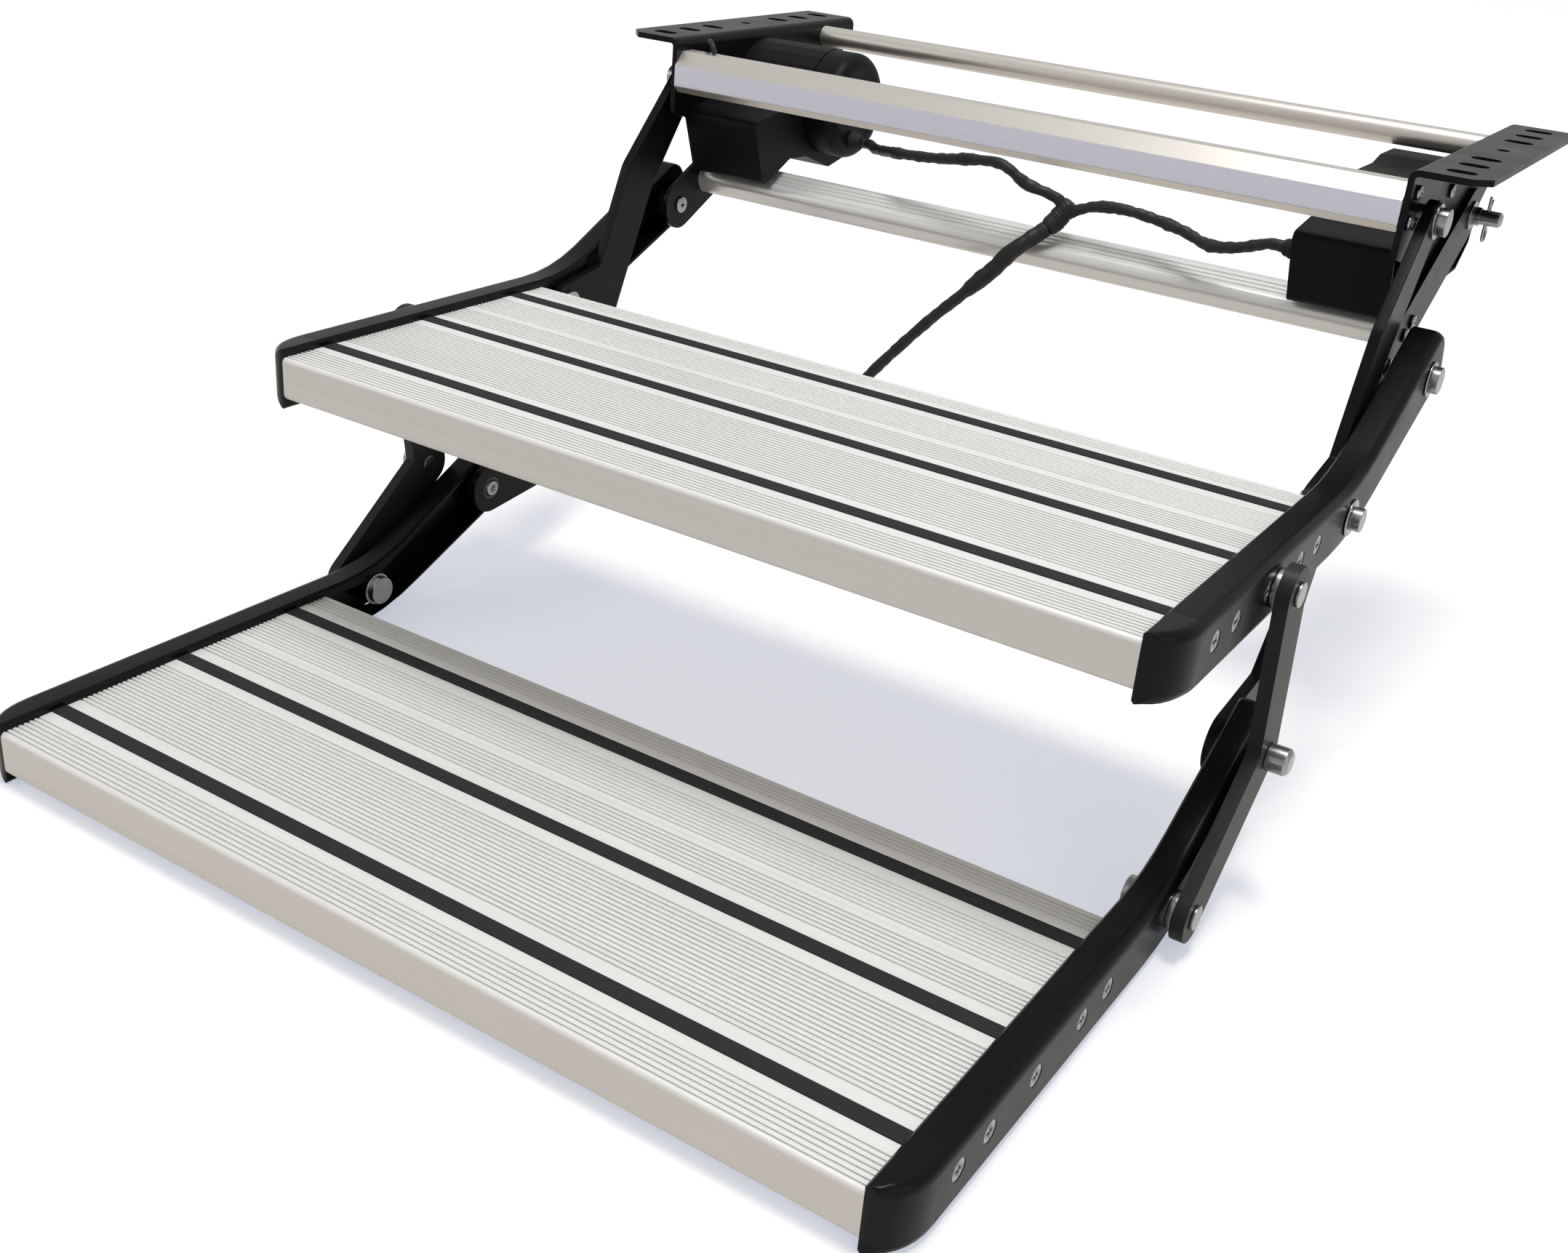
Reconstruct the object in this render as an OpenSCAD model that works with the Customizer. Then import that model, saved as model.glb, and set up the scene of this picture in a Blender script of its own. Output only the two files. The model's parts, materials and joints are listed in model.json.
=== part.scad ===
// Electric double folding entrance step for a caravan.
// Origin: middle of the two mounting flanges, on their top faces.
// X runs across the step, +Y towards the vehicle, +Z up. Drawn unfolded.

/* [Mounting brackets] */
// Length of each mounting flange, front to back
flange_len = 248; // [236:1:300]
// Width of each flange, measured from the inner face of its web
flange_w = 46; // [42:1:60]
// Thickness of the bracket sheet
sheet_t = 4; // [3:0.5:5]
// Outer radius of the bend between web and flange
bend_r = 6; // [5:0.5:7]
// Width of the mounting slots
slot_w = 11; // [8:0.5:12]
// Length of the mounting slots, across the step
slot_len = 18; // [14:1:20]
// Distance between neighbouring mounting slots
slot_pitch = 30; // [24:1:32]
// Distance from the flange middle to its nearest slot
slot_inner = 45; // [36:1:48]
// Distance from the web to the middle of the slots
slot_out = 25; // [22:1:28]
// Diameter of the locating hole in the middle of each flange
pilot_d = 8; // [5:0.5:10]
// Diameter of the bar that ties the two brackets together
tie_d = 16; // [12:1:18]

/* [Treads] */
// Clear width of each tread between the side rails
tread_w = 564; // [500:2:640]
// Depth of each tread from nose to back edge
tread_depth = 241; // [236:1:249]
// Thickness of the tread planks
tread_t = 27; // [25:0.5:28]
// Height of the upper tread above the lower one
step_rise = 170; // [162:1:180]
// Distance from the upper nose to the lower nose
step_run = 215; // [206:1:224]
// Drop from the flange top to the upper tread
upper_drop = 164; // [158:1:172]
// Distance from the flange middle to the upper nose
upper_nose = 493; // [489:1:499]
// Depth of the rear plank of each tread
rear_plank = 76; // [74:0.5:79]
// Width of the rubber grip strips
strip_w = 10; // [6:0.5:12]
// Height of a grip strip above the tread
strip_stand = 0.8; // [0.4:0.1:1.5]
// Distance between neighbouring tread ribs
rib_pitch = 3.4; // [2.6:0.1:6]

/* [Side rails] */
// Width of a side rail
rail_w = 20; // [20:1:24]
// Height of a side rail beside the tread
rail_h = 38; // [36:1:40]
// Height of a side rail at its rear pivot
tail_h = 44; // [42:1:48]
// Height of the rail lip above the tread
rail_lip = 5; // [3:0.5:7]
// Wall thickness of the rail
rail_wall = 4; // [3:0.5:5]
// Radius of the rail's outer edges
rail_round = 6; // [3:0.5:7]
// Length of the moulded corner cap
cap_len = 29; // [26:1:32]
// Width of the corner cap at its tip, beside the nose
cap_tip = 2; // [2:0.5:6]

/* [Links] */
// Thickness of the folding arms
arm_t = 7; // [5:0.5:7]
// Thickness of the rear links
rear_link_t = 3.5; // [3:0.5:4]
// Width of the folding arms
arm_w = 34; // [32:1:36]
// Width of the rear links
rear_link_w = 36; // [32:1:40]
// Width of the outer links
outer_w = 30; // [28:1:32]
// Thickness of the outer links
outer_t = 8; // [6:0.5:9]
// Diameter of the pivot pins
pin_d = 12; // [10:0.5:12]
// Diameter of the washers on the pivot pins
washer_d = 22; // [20:0.5:23]
// Front bracket pivot, behind the front end of the flange
front_pivot_in = 28; // [27:1:32]
// Front bracket pivot, below the flange top
front_pivot_drop = 32; // [30:1:36]
// Rear bracket pivot, behind the flange middle
rear_pivot_y = 40; // [36:1:44]
// Rear bracket pivot, below the flange top
rear_pivot_drop = 50; // [48:1:54]

/* [Light and drive] */
// Height of the light bar
light_h = 29; // [27:0.5:32]
// Depth of the light bar
light_d = 21; // [19:0.5:21]
// Diameter of the drive motor
motor_d = 72; // [60:1:73]
// Distance that the motor stands out of its cover
motor_out = 26; // [18:1:40]
// Width of the drive and control covers
cover_w = 64; // [58:1:70]
// Depth of the bar that joins the rear links
cross_d = 28; // [24:1:30]
// Thickness of the bar that joins the rear links
cross_t = 19; // [16:1:20]
// Diameter of the wiring branches
branch_d = 8; // [6:0.5:9]
// Diameter of the main cable
trunk_d = 11; // [8:0.5:12]

/* [Hidden] */
$fn = 48;

black = "#202122";
silver = "#c9cacb";
zinc = "#b9bcc0";
rubber = "#2a2a2c";
dark_metal = "#3a3b3d";
bush_white = "#d8d2c0";
lens_white = "#e6e8f4";
board_white = "#f4f1dc";

// Radial clearance of a pin in its bore, and a small overlap for clean cuts
run = 0.05;
eps = 1;
// Free gap that lets two bodies pass each other
part_gap = 0.3;

// Layers across the step, from the tread end outwards and inwards
half_w = tread_w / 2;
link_gap = 0.5;
spacer_t = 0.5;
outer_gap = 4;
arm_out = half_w - link_gap;
arm_in = arm_out - arm_t;
rear_out = arm_in - link_gap;
rear_in = rear_out - rear_link_t;
web_out = rear_in - spacer_t;
web_in = web_out - sheet_t;
rail_out = half_w + rail_w;
outer_in = rail_out + outer_gap;
outer_out = outer_in + outer_t;

// Nose corners of the two treads, as [y, z]
upper = [-upper_nose, -upper_drop];
lower = upper - [step_run, step_rise];
rail_mid = rail_lip - rail_h / 2;

// Pivots of the folding linkage, as [y, z]
arm_pin_back = 23;
upper_tail = [148, 40];
upper_bend = 32;
outer_pin_back = -105;
lower_tail = [154, 35];
lower_bend = 50;
lower_pin_back = 46;
lower_pin_drop = 10;
pivot_a = [front_pivot_in - flange_len / 2, -front_pivot_drop];
pivot_b = [rear_pivot_y, -rear_pivot_drop];
pivot_c = upper + [tread_depth + arm_pin_back, rail_mid];
pivot_d = upper + [tread_depth + upper_tail[0], upper_tail[1]];
pivot_e = lower + [tread_depth + lower_tail[0], lower_tail[1]];
pivot_f = upper + [tread_depth + outer_pin_back, rail_mid];
pivot_g = lower + [tread_depth + lower_pin_back, -lower_pin_drop];
upper_kink = upper + [tread_depth + upper_bend, rail_mid];
lower_kink = lower + [tread_depth + lower_bend, rail_mid];

// Bends of the folding arm and of the outer link
arm_shoulder = pivot_a + [-54, -65];
arm_knee = pivot_c + [47, 9];
arm_shin = pivot_e + [94, 50];
arm_heel = pivot_e + [60, 7];
outer_knee = pivot_f + [15, -103];
lug_w = 28;
arm_top_w = 24;
arm_foot_w = 36;

// Pins, washers and heads
pin_r = pin_d / 2;
bore_r = pin_r + run;
bush_r = pin_r + 2.5;
washer_r = washer_d / 2;
washer_t = 1.5;
head_r = pin_r + 2.5;
rail_head_r = pin_r + 1;
big_head_r = head_r + 1;
pin_chamfer = 1.5;
bolt_head_t = 6;
round_head_t = 5;
rivet_head_t = 2;
boss_r = pin_r + 5;
collar_t = 2.5;
shaft_r = 7;

// Fasteners
screw_r = 3;
screw_head_r = 6;
screw_head_t = 3.3;
screw_len = 38;
screw_boss_r = 9;
pan_head_r = 4.5;
pan_head_t = 3;
pan_r = 2.5;
pan_len = 14;
bolt_r = 3;
bolt_head_r = 5;
bolt_len = 20;
// Rail screws: two counted from the nose, three from the back edge of the tread
rail_screws = [47, 76, tread_depth - 119, tread_depth - 68, tread_depth - 38];
screw_z = -11.5;

// Tread section
nose_top_r = 3;
nose_foot_r = 4;
nose_grooves = [3.7, 7.1];
groove_w = 1.2;
groove_depth = 1;
rib_gap = 1.4;
rib_depth = 1;
strip_first = 38;
strip_last = 29;
strip_seat = 2.5;
plain_band = 7;
plank_wall = 3;
port_wall = 3.5;
plank_gap = 0.2;
strips = [for (t = [0, 0.5, 1]) strip_first + t * (tread_depth - strip_last - strip_first)];
front_plank = tread_depth - rear_plank;
nose_margin = 1.6;
plank_margin = 2;

// Light bar section, measured from its lower front edge
light_front = -flange_len / 2 - 2;
light_top = -9;
light_slope = 9.5;
light_lip = 5;
light_wall = 2;
light_screw_in = 9;
light_screw_edge = 6;
light_back = 8;
diffuser_t = 2;
board_t = 1.2;
board_gap = 1;
board_inset = 6;

// Bar, covers and drive
tie_at = [flange_len / 2 - 45, -11.5];
motor_at = [-8, -46];
gear_r = 20;
gear_len = 40;
gear_wall = 8;
gear_step = 8;
shaft_gap = 1;
motor_edge = 5;
cover_t = 2;
tab_t = 2;
tab = [28, 14];
tab_at = [-22, -26];
cover_grip = 3;
cover_round = 5;
cover_in = web_in - cover_w;
cover_front = [[-95, -100], [-112, -52], [-101, -50], [-76, -46]];
cover_foot = [[-3, -96], [-37, -84], [-60, -83]];
drum_r = motor_d / 2 + 3.5;
drive_back = concat([for (w = [150:-15:60]) motor_at + drum_r * [cos(w), sin(w)]],
    [[44, -24], [64, -32], [64, -68], [50, -84]]);
control_back = [[-5, -28], [41, -28], [58, -24], [95, -24], [95, -78], [73, -94]];
module_t = 36;
module_at = [-38, -80];
module_size = [100, 36];
clip_r = 1;
cross_reach = 40;
cross_r = 7;
cross_groove = 4;

// Wiring routes, as [x, y, z]
motor_gland_at = [-(cover_in - motor_out), -15, -70];
control_gland_at = [cover_in, -92, -66];
gland_r = 7;
gland_len = 9;
gland_step = 2;
sleeve_d = trunk_d + 4;
connector_set = 2;
motor_route = [motor_gland_at + [gland_len, 0, 0], motor_gland_at + [gland_len + 10, -3, 0],
    [-140, -38, -68], [-106, -65, -62], [-70, -75, -58], [-35, -83, -52],
    [-12, -87, -51], [5, -83, -61], [20, -77, -66], [28, -74, -70], [32, -73, -76]];
control_route = [control_gland_at - [gland_len, 0, 0], control_gland_at - [gland_len + 10, 0, 0],
    [162, -90, -73], [142, -86, -76], [122, -80, -72], [98, -75, -69],
    [76, -75, -67], [56, -73, -69], [42, -73, -74], [34, -74, -79]];
sleeve_route = [[36, -71, -70], [32, -73, -77], [28, -76, -84], [24, -80, -89]];
trunk_route = [[24, -80, -89], [18, -86, -95], [8, -98, -106], [0, -105, -118], [-8, -108, -127],
    [-22, -109, -142], [-40, -108, -160], [-62, -106, -184], [-90, -105, -217], [-112, -109, -250],
    [-122, -120, -285]];
grommet_at = [light_front + 36, -18];
light_route = [for (p = [[26, 13, -8], [23, 14, -3], [16, 20, -1], [9, 28, -5], [4, 34, -13], [-1, 36, -18]])
    [p[0] - web_in, light_front + p[1], p[2]]];
lead_d = 4;
connector = [24, 16, 34];
grommet_r = 4;
grommet_lip = 2;
grommet_t = 1;

// A flat shape in [y, z], thickened along X from x0
module slab(x0, t) translate([x0, 0, 0]) rotate([90, 0, 90]) linear_extrude(t) children();

// A round bar along X between x0 and x1, through the point p = [y, z]
module rod(p, r, x0, x1) translate([x0, p[0], p[1]]) rotate([0, 90, 0]) cylinder(r = r, h = x1 - x0);

// A washer or bush along X
module ring(p, r_out, r_in, x0, x1) difference() {
    rod(p, r_out, x0, x1);
    rod(p, r_in, x0 - eps, x1 + eps);
}

// A cone along X
module cone(p, r0, r1, x0, x1) translate([x0, p[0], p[1]]) rotate([0, 90, 0])
    cylinder(r1 = r0, r2 = r1, h = x1 - x0);

// A strap of flat bar with round ends
module strap(p, q, w0, w1) hull() {
    translate(p) circle(d = w0, $fn = 32);
    translate(q) circle(d = w1, $fn = 32);
}

// The same piece on both sides
module both() {
    children();
    mirror([1, 0, 0]) children();
}

// Direction from one route point to the next, and two directions square to it
function unit(v) = v / norm(v);
function heading(p, i) = unit(p[min(i + 1, len(p) - 1)] - p[max(i - 1, 0)]);
function side(t) = unit(cross(t, abs(t[0]) < 0.7 ? [1, 0, 0] : [0, 1, 0]));
function tube_ring(p, i, r, n) = let(t = heading(p, i), u = side(t), w = cross(t, u))
    [for (k = [0:n - 1]) p[i] + r * (cos(360 * k / n) * u + sin(360 * k / n) * w)];

// Faces of a swept shape with m rings of n points: its sides, and a fan over each end
function swept_sides(m, n) = [for (i = [0:m - 2], k = [0:n - 1], half = [0, 1])
    let(a = i * n + k, b = i * n + (k + 1) % n) half == 0 ? [b + n, b, a] : [a + n, b + n, a]];
function swept_end(first, n, flip) = [for (k = [1:n - 2])
    flip ? [first + k, first + k + 1, first] : [first + k + 1, first + k, first]];
function swept_faces(m, n) =
    concat(swept_sides(m, n), swept_end(0, n, true), swept_end((m - 1) * n, n, false));

// A cable swept along its route
module cable(p, d) {
    n = d < 4 ? 8 : 10;
    points = [for (i = [0:len(p) - 1]) each tube_ring(p, i, d / 2, n)];
    polyhedron(points, swept_faces(len(p), n));
}

// Mounting brackets

module bracket_section() {
    translate([web_in + bend_r, -sheet_t]) square([flange_w - bend_r, sheet_t]);
    translate([web_in, -web_h]) square([sheet_t, web_h - bend_r]);
    intersection() {
        translate([web_in + bend_r, -bend_r]) difference() {
            circle(bend_r);
            circle(bend_r - sheet_t);
        }
        translate([web_in, -bend_r]) square(bend_r);
    }
}

web_below = 22;
web_h = rear_pivot_drop + web_below;
web_front_h = front_pivot_drop + web_below - 1;
web_rear_h = 14;
web_flat = [55, 46];
corner_cut = 10;

module web_trim() {
    half = flange_len / 2;
    polygon([[-half - eps, -web_front_h], [-web_flat[0], -web_h], [web_flat[1], -web_h],
        [half + eps, -web_rear_h], [half + eps, -web_h - eps], [-half - eps, -web_h - eps]]);
}

module mounting_slot(y) {
    reach = (slot_len - slot_w) / 2;
    translate([web_in + slot_out, y, -sheet_t - eps]) {
        for (s = [-1, 1]) translate([s * reach, 0, 0]) cylinder(d = slot_w, h = sheet_t + 2 * eps);
        translate([-reach, -slot_w / 2, 0]) cube([2 * reach, slot_w, sheet_t + 2 * eps]);
    }
}

module bracket(rear_r) color(black) difference() {
    translate([0, flange_len / 2, 0]) rotate([90, 0, 0]) linear_extrude(flange_len) bracket_section();
    slab(web_in - eps, sheet_t + 2 * eps) web_trim();
    translate([web_in + flange_w, -flange_len / 2, -sheet_t - eps]) rotate(45)
        cube([corner_cut * sqrt(2), corner_cut * sqrt(2), 2 * (sheet_t + 2 * eps)], center = true);
    for (s = [-1, 1], k = [0:2]) mounting_slot(s * (slot_inner + k * slot_pitch));
    translate([web_in + slot_out, 0, -sheet_t - eps]) cylinder(d = pilot_d, h = sheet_t + 2 * eps);
    rod(pivot_a, bore_r, web_in - eps, web_out + eps);
    rod(pivot_b, rear_r, web_in - eps, web_out + eps);
    rod(tie_at, bolt_r + run, web_in - eps, web_out + eps);
    for (p = light_screw_at) rod(p, pan_r + run, web_in - eps, web_out + eps);
    rod(tab_at, pan_r + run, web_in - eps, web_out + eps);
}

module left_bracket() mirror([1, 0, 0]) color(black) difference() {
    bracket(shaft_r + run);
    rod(grommet_at, grommet_r, web_in - eps, web_out + eps);
}
module right_bracket() bracket(bore_r);

module tie_bar() color(silver) difference() {
    rod(tie_at, tie_d / 2, -web_in, web_in);
    both() rod(tie_at, bolt_r + run, web_in - bolt_len, web_in + eps);
}

module tie_bolts() color(zinc) both() {
    rod(tie_at, bolt_r, web_out - bolt_len, web_out);
    rod(tie_at, bolt_head_r, web_out, web_out + pan_head_t);
}

// Light bar between the brackets

light_low = light_top - light_h;
light_lens = [light_low + light_lip, light_top - light_slope];
light_screw_at = [[light_front + light_screw_in, light_low + light_screw_edge],
    [light_front + light_d - light_screw_edge, light_top - light_screw_edge]];

module light_outline() polygon([[light_front, light_lens[0]], [light_front, light_lens[1]],
    [light_front + light_slope, light_top], [light_front + light_d, light_top],
    [light_front + light_d, light_low], [light_front + light_lip, light_low]]);

module light_housing() color(silver) difference() {
    slab(-web_in, 2 * web_in) difference() {
        light_outline();
        translate([light_front - eps, light_lens[0]])
            square([diffuser_t + eps, light_lens[1] - light_lens[0]]);
        translate([light_front + diffuser_t - eps, light_lens[0] + light_wall])
            square([light_d - diffuser_t - light_back + eps, light_lens[1] - light_lens[0] - 2 * light_wall]);
    }
    both() for (p = light_screw_at) rod(p, pan_r + run, web_in - pan_len, web_in + eps);
}

module light_diffuser() color(lens_white) slab(-web_in, 2 * web_in)
    translate([light_front, light_lens[0]]) square([diffuser_t, light_lens[1] - light_lens[0]]);

module light_strip() color(board_white) slab(board_inset - web_in, 2 * (web_in - board_inset))
    translate([light_front + light_d - light_back - board_t, light_lens[0] + light_wall + board_gap])
        square([board_t, light_lens[1] - light_lens[0] - 2 * (light_wall + board_gap)]);

module light_screws() color(zinc) both() for (p = light_screw_at) {
    rod(p, pan_r, web_out - pan_len + sheet_t, web_out);
    rod(p, pan_head_r, web_out, web_out + pan_head_t);
}

module light_grommet() color(rubber) mirror([1, 0, 0]) {
    ring(grommet_at, grommet_r - run, lead_d / 2 + run, web_in - grommet_t, web_out + grommet_t);
    ring(grommet_at, grommet_r + grommet_lip, lead_d / 2 + run, web_in - grommet_t, web_in);
}

module light_lead() color(black) cable(light_route, lead_d);

// Drive on the left bracket, controller on the right one

module cover_outline(back) offset(r = cover_round) offset(delta = -cover_round)
    polygon(concat(cover_front, back, cover_foot));

module cover(back) color(black) {
    difference() {
        slab(cover_in, cover_w) cover_outline(back);
        slab(cover_in + cover_t, cover_w) offset(delta = -cover_t) cover_outline(back);
        children();
    }
    difference() {
        slab(web_in - tab_t, tab_t) translate(tab_at - tab / 2) square(tab);
        rod(tab_at, pan_r + run, web_in - tab_t - eps, web_in + eps);
        slab(web_in - tab_t - eps, tab_t + 2 * eps) offset(delta = -cover_t) cover_outline(back);
    }
}

module drive_cover() mirror([1, 0, 0]) cover(drive_back)
    rod(motor_at, motor_d / 2 + part_gap, cover_in - eps, cover_in + 2 * cover_t);
module control_cover() cover(control_back)
    rod([control_gland_at[1], control_gland_at[2]], gland_r - gland_step + run,
        cover_in - eps, cover_in + 2 * cover_t);

module gearbox() color(dark_metal) mirror([1, 0, 0]) difference() {
    slab(web_in - gear_len, gear_len) strap(pivot_b, motor_at, 2 * gear_r, motor_d - gear_step);
    rod(pivot_b, shaft_r + run, web_in - gear_len + gear_wall, web_in + eps);
    rod(tab_at, pan_r + run, web_in - pan_len, web_in + eps);
}

module motor() color(black) mirror([1, 0, 0]) {
    end = cover_in - motor_out;
    difference() {
        union() {
            rod(motor_at, motor_d / 2, end + motor_edge, web_in - gear_len);
            cone(motor_at, motor_d / 2 - motor_edge, motor_d / 2, end, end + motor_edge);
        }
        rod([motor_gland_at[1], motor_gland_at[2]], gland_r - gland_step + run, end - eps, end + gland_len);
    }
}

module control_module() color(dark_metal) slab(cover_in + cover_t, module_t)
    translate(module_at) square(module_size);

module cover_screws() color(zinc) both() {
    rod(tab_at, pan_r, web_in - tab_t - cover_grip, web_out);
    rod(tab_at, pan_head_r, web_out, web_out + pan_head_t);
}

module gland(p, d) {
    difference() {
        union() {
            rod([p[1], p[2]], gland_r, p[0] - gland_len, p[0]);
            rod([p[1], p[2]], gland_r - gland_step, p[0], p[0] + cover_t);
        }
        rod([p[1], p[2]], d / 2 + run, p[0] - gland_len - eps, p[0] + cover_t + eps);
    }
}

module cable_glands() color(black) {
    gland(control_gland_at, branch_d);
    mirror([1, 0, 0]) gland([-motor_gland_at[0], motor_gland_at[1], motor_gland_at[2]], branch_d);
}

module motor_cable() color(black) cable(motor_route, branch_d);
module control_cable() color(black) cable(control_route, branch_d);
module joint_sleeve() color(black) cable(sleeve_route, sleeve_d);
module trunk_cable() color(black) cable(trunk_route, trunk_d);
module trunk_connector() color(black) translate(trunk_route[len(trunk_route) - 1]) 
    translate([0, -connector_set, -connector[2] / 2]) cube(connector, center = true);

// Pins that hang the links on the brackets

module bracket_pins() color(zinc) both() {
    rod(pivot_a, head_r, web_in - collar_t, web_in);
    rod(pivot_a, pin_r, web_in - collar_t, arm_out + washer_t);
    rod(pivot_a, head_r, arm_out + washer_t, arm_out + washer_t + bolt_head_t);
}

module bracket_washers() color(zinc) {
    both() {
        ring(pivot_a, head_r, bore_r, web_out, arm_in - run);
        ring(pivot_a, washer_r, bore_r, arm_out + run, arm_out + washer_t);
    }
    ring(pivot_b, rear_washer_r, bore_r, web_out, rear_in - run);
    ring(pivot_b, rear_washer_r, bore_r, rear_out + run, rear_out + washer_t);
}

rear_washer_r = 9.5;
rear_tip_r = pin_r - 1;
rear_pin_step = rear_out + 6;
rear_pin_end = rear_out + 20;
clip_x = rear_out + 10;
clip_top = pin_r + 5;
clip_leg = pin_r + 8;
clip_back = pin_r + 5;
clip_loop = (pin_r + clip_r + 2) / 2;

module rear_pin() color(zinc) difference() {
    union() {
        rod(pivot_b, head_r, web_in - collar_t, web_in);
        rod(pivot_b, pin_r, web_in - collar_t, rear_pin_step);
        rod(pivot_b, rear_tip_r, rear_pin_step - eps, rear_pin_end - pin_chamfer);
        cone(pivot_b, rear_tip_r, rear_tip_r - pin_chamfer, rear_pin_end - pin_chamfer, rear_pin_end);
    }
    translate([clip_x, pivot_b[0], pivot_b[1]]) cylinder(r = clip_r + run, h = 4 * pin_r, center = true);
}

module pin_clip() color(zinc) translate([clip_x, pivot_b[0], pivot_b[1]]) {
    translate([0, 0, -clip_leg]) cylinder(r = clip_r, h = clip_leg + clip_top);
    translate([0, clip_loop, clip_top]) rotate([90, 0, 90]) rotate_extrude(angle = 180)
        translate([clip_loop, 0]) circle(clip_r);
    translate([0, 2 * clip_loop, -clip_back]) cylinder(r = clip_r, h = clip_back + clip_top);
}

// Folding arms

module arm() color(black) difference() {
    slab(arm_in, arm_t) {
        strap(pivot_a, arm_shoulder, arm_top_w, arm_w);
        strap(arm_shoulder, arm_knee, arm_w, arm_w);
        strap(arm_knee, pivot_c, lug_w, lug_w);
        strap(arm_knee, arm_shin, arm_w, arm_foot_w);
        strap(arm_shin, arm_heel, arm_foot_w, arm_foot_w);
        strap(arm_heel, pivot_e, arm_foot_w, arm_foot_w);
    }
    for (p = [pivot_a, pivot_c, pivot_e]) rod(p, bush_r + run, arm_in - eps, arm_out + eps);
}

module left_arm() mirror([1, 0, 0]) arm();
module right_arm() arm();
module arm_bushes() color(bush_white) both()
    for (p = [pivot_a, pivot_c, pivot_e]) ring(p, bush_r, bore_r, arm_in, arm_out);

// Rear links and the bar between them

link_dir = unit(pivot_b - pivot_d);
cross_at = pivot_d + cross_reach * link_dir;
cross_tilt = atan2(link_dir[1], link_dir[0]);
cross_bolts = [for (s = [-1, 1]) cross_at + s * (cross_d / 2 - cross_r) * link_dir];

module rear_link(bore) color(black) difference() {
    slab(rear_in, rear_link_t) strap(pivot_b, pivot_d, rear_link_w, rear_link_w);
    rod(pivot_b, bore, rear_in - eps, rear_out + eps);
    rod(pivot_d, bore_r, rear_in - eps, rear_out + eps);
    for (p = cross_bolts) rod(p, screw_r + run, rear_in - eps, rear_out + eps);
}

module left_rear_link() mirror([1, 0, 0]) rear_link(shaft_r + run);
module right_rear_link() rear_link(bush_r + run);

module cross_section() difference() {
    union() {
        for (s = [-1, 1]) translate([s * (cross_d / 2 - cross_r), 0]) {
            translate([0, cross_t / 2 - cross_r]) circle(cross_r);
            translate([0, cross_r - cross_t / 2]) circle(cross_r);
        }
        square([cross_d - 2 * cross_r, cross_t], center = true);
        square([cross_d, cross_t - 2 * cross_r], center = true);
    }
    for (k = [-1, 0, 1]) translate([k * cross_groove, cross_t / 2])
        square([groove_w, 2 * groove_depth], center = true);
}

module crossbar() color(silver) difference() {
    slab(-rear_in, 2 * rear_in) translate(cross_at) rotate(cross_tilt) cross_section();
    both() for (p = cross_bolts) rod(p, screw_r + run, rear_in - pan_len - eps, rear_in + eps);
}

module crossbar_screws() color(zinc) both() for (p = cross_bolts) {
    rod(p, screw_r, rear_in - pan_len, rear_out);
    rod(p, pan_head_r, rear_out, rear_out + pan_head_t);
}

module drive_shaft() color(zinc) mirror([1, 0, 0]) {
    rod(pivot_b, shaft_r, web_in - gear_len + gear_wall + shaft_gap, rear_out);
    rod(pivot_b, rear_washer_r, web_out + part_gap, rear_in);
    rod(pivot_b, rear_washer_r, rear_out, rear_out + washer_t);
    rod(pivot_b, head_r, rear_out + washer_t, rear_out + washer_t + round_head_t);
}

module rear_bush() color(bush_white) ring(pivot_b, bush_r, bore_r, rear_in, rear_out);

module tail_rivets() color(zinc) both() {
    rod(pivot_d, pin_r, rear_in - collar_t, rear_out);
    rod(pivot_d, rail_head_r, rear_in - collar_t, rear_in);
    rod(pivot_d, rail_head_r, rear_out, rear_out + collar_t);
}

// Steps: rails, planks, strips, caps and screws, placed by the nose corner o

kink_blend = 34;
kink_steps = 4;
tail_reach = 24;
tail_r = 8;
inner_ease = 1.5;
round_steps = 3;
pocket_top = -2;

// Middle line of a rail, as rows of [y, z, half height]: along the tread, round the kink, to a square tail
function kink_row(a, k, b, t) = (1 - t) * (1 - t) * a + 2 * t * (1 - t) * k + t * t * b;
function rail_line(o, kink, tail) =
    let(d = unit(tail - kink), end = tail + tail_reach * d,
        a = kink - [kink_blend, 0], b = kink + kink_blend * d)
    concat([[o[0] + cap_len, o[1] + rail_mid, rail_h / 2]],
        [for (i = [0:kink_steps]) let(p = kink_row(a, kink, b, i / kink_steps)) [p[0], p[1], rail_h / 2]],
        [for (k = [0:round_steps]) let(w = 90 * k / round_steps, p = end - tail_r * (1 - sin(w)) * d)
            [p[0], p[1], tail_h / 2 - tail_r * (1 - cos(w))]]);

// Section of a rail or cap of width b, as rows of [x, side, inset from the edge]: eased inside, round outside
function section_rows(b) = let(r = min(rail_round, b - inner_ease),
    top = concat([[0, 1, inner_ease], [inner_ease, 1, 0]], [for (k = [0:round_steps])
        let(w = 90 * k / round_steps) [b - r * (1 - sin(w)), 1, r * (1 - cos(w))]]))
    concat(top, [for (i = [len(top) - 1:-1:0]) [top[i][0], -1, top[i][2]]]);

// The section carried along a middle line, square to it at each row, with one width per row
function across_line(l, i) = let(step = l[min(i + 1, len(l) - 1)] - l[max(i - 1, 0)])
    unit([-step[1], step[0]]);
module swept_rail(l, widths) {
    points = [for (i = [0:len(l) - 1]) let(u = across_line(l, i)) for (q = section_rows(widths[i]))
        [half_w + q[0], l[i][0] + q[1] * (l[i][2] - q[2]) * u[0], l[i][1] + q[1] * (l[i][2] - q[2]) * u[1]]];
    polyhedron(points, swept_faces(len(l), len(section_rows(rail_w))));
}

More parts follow.
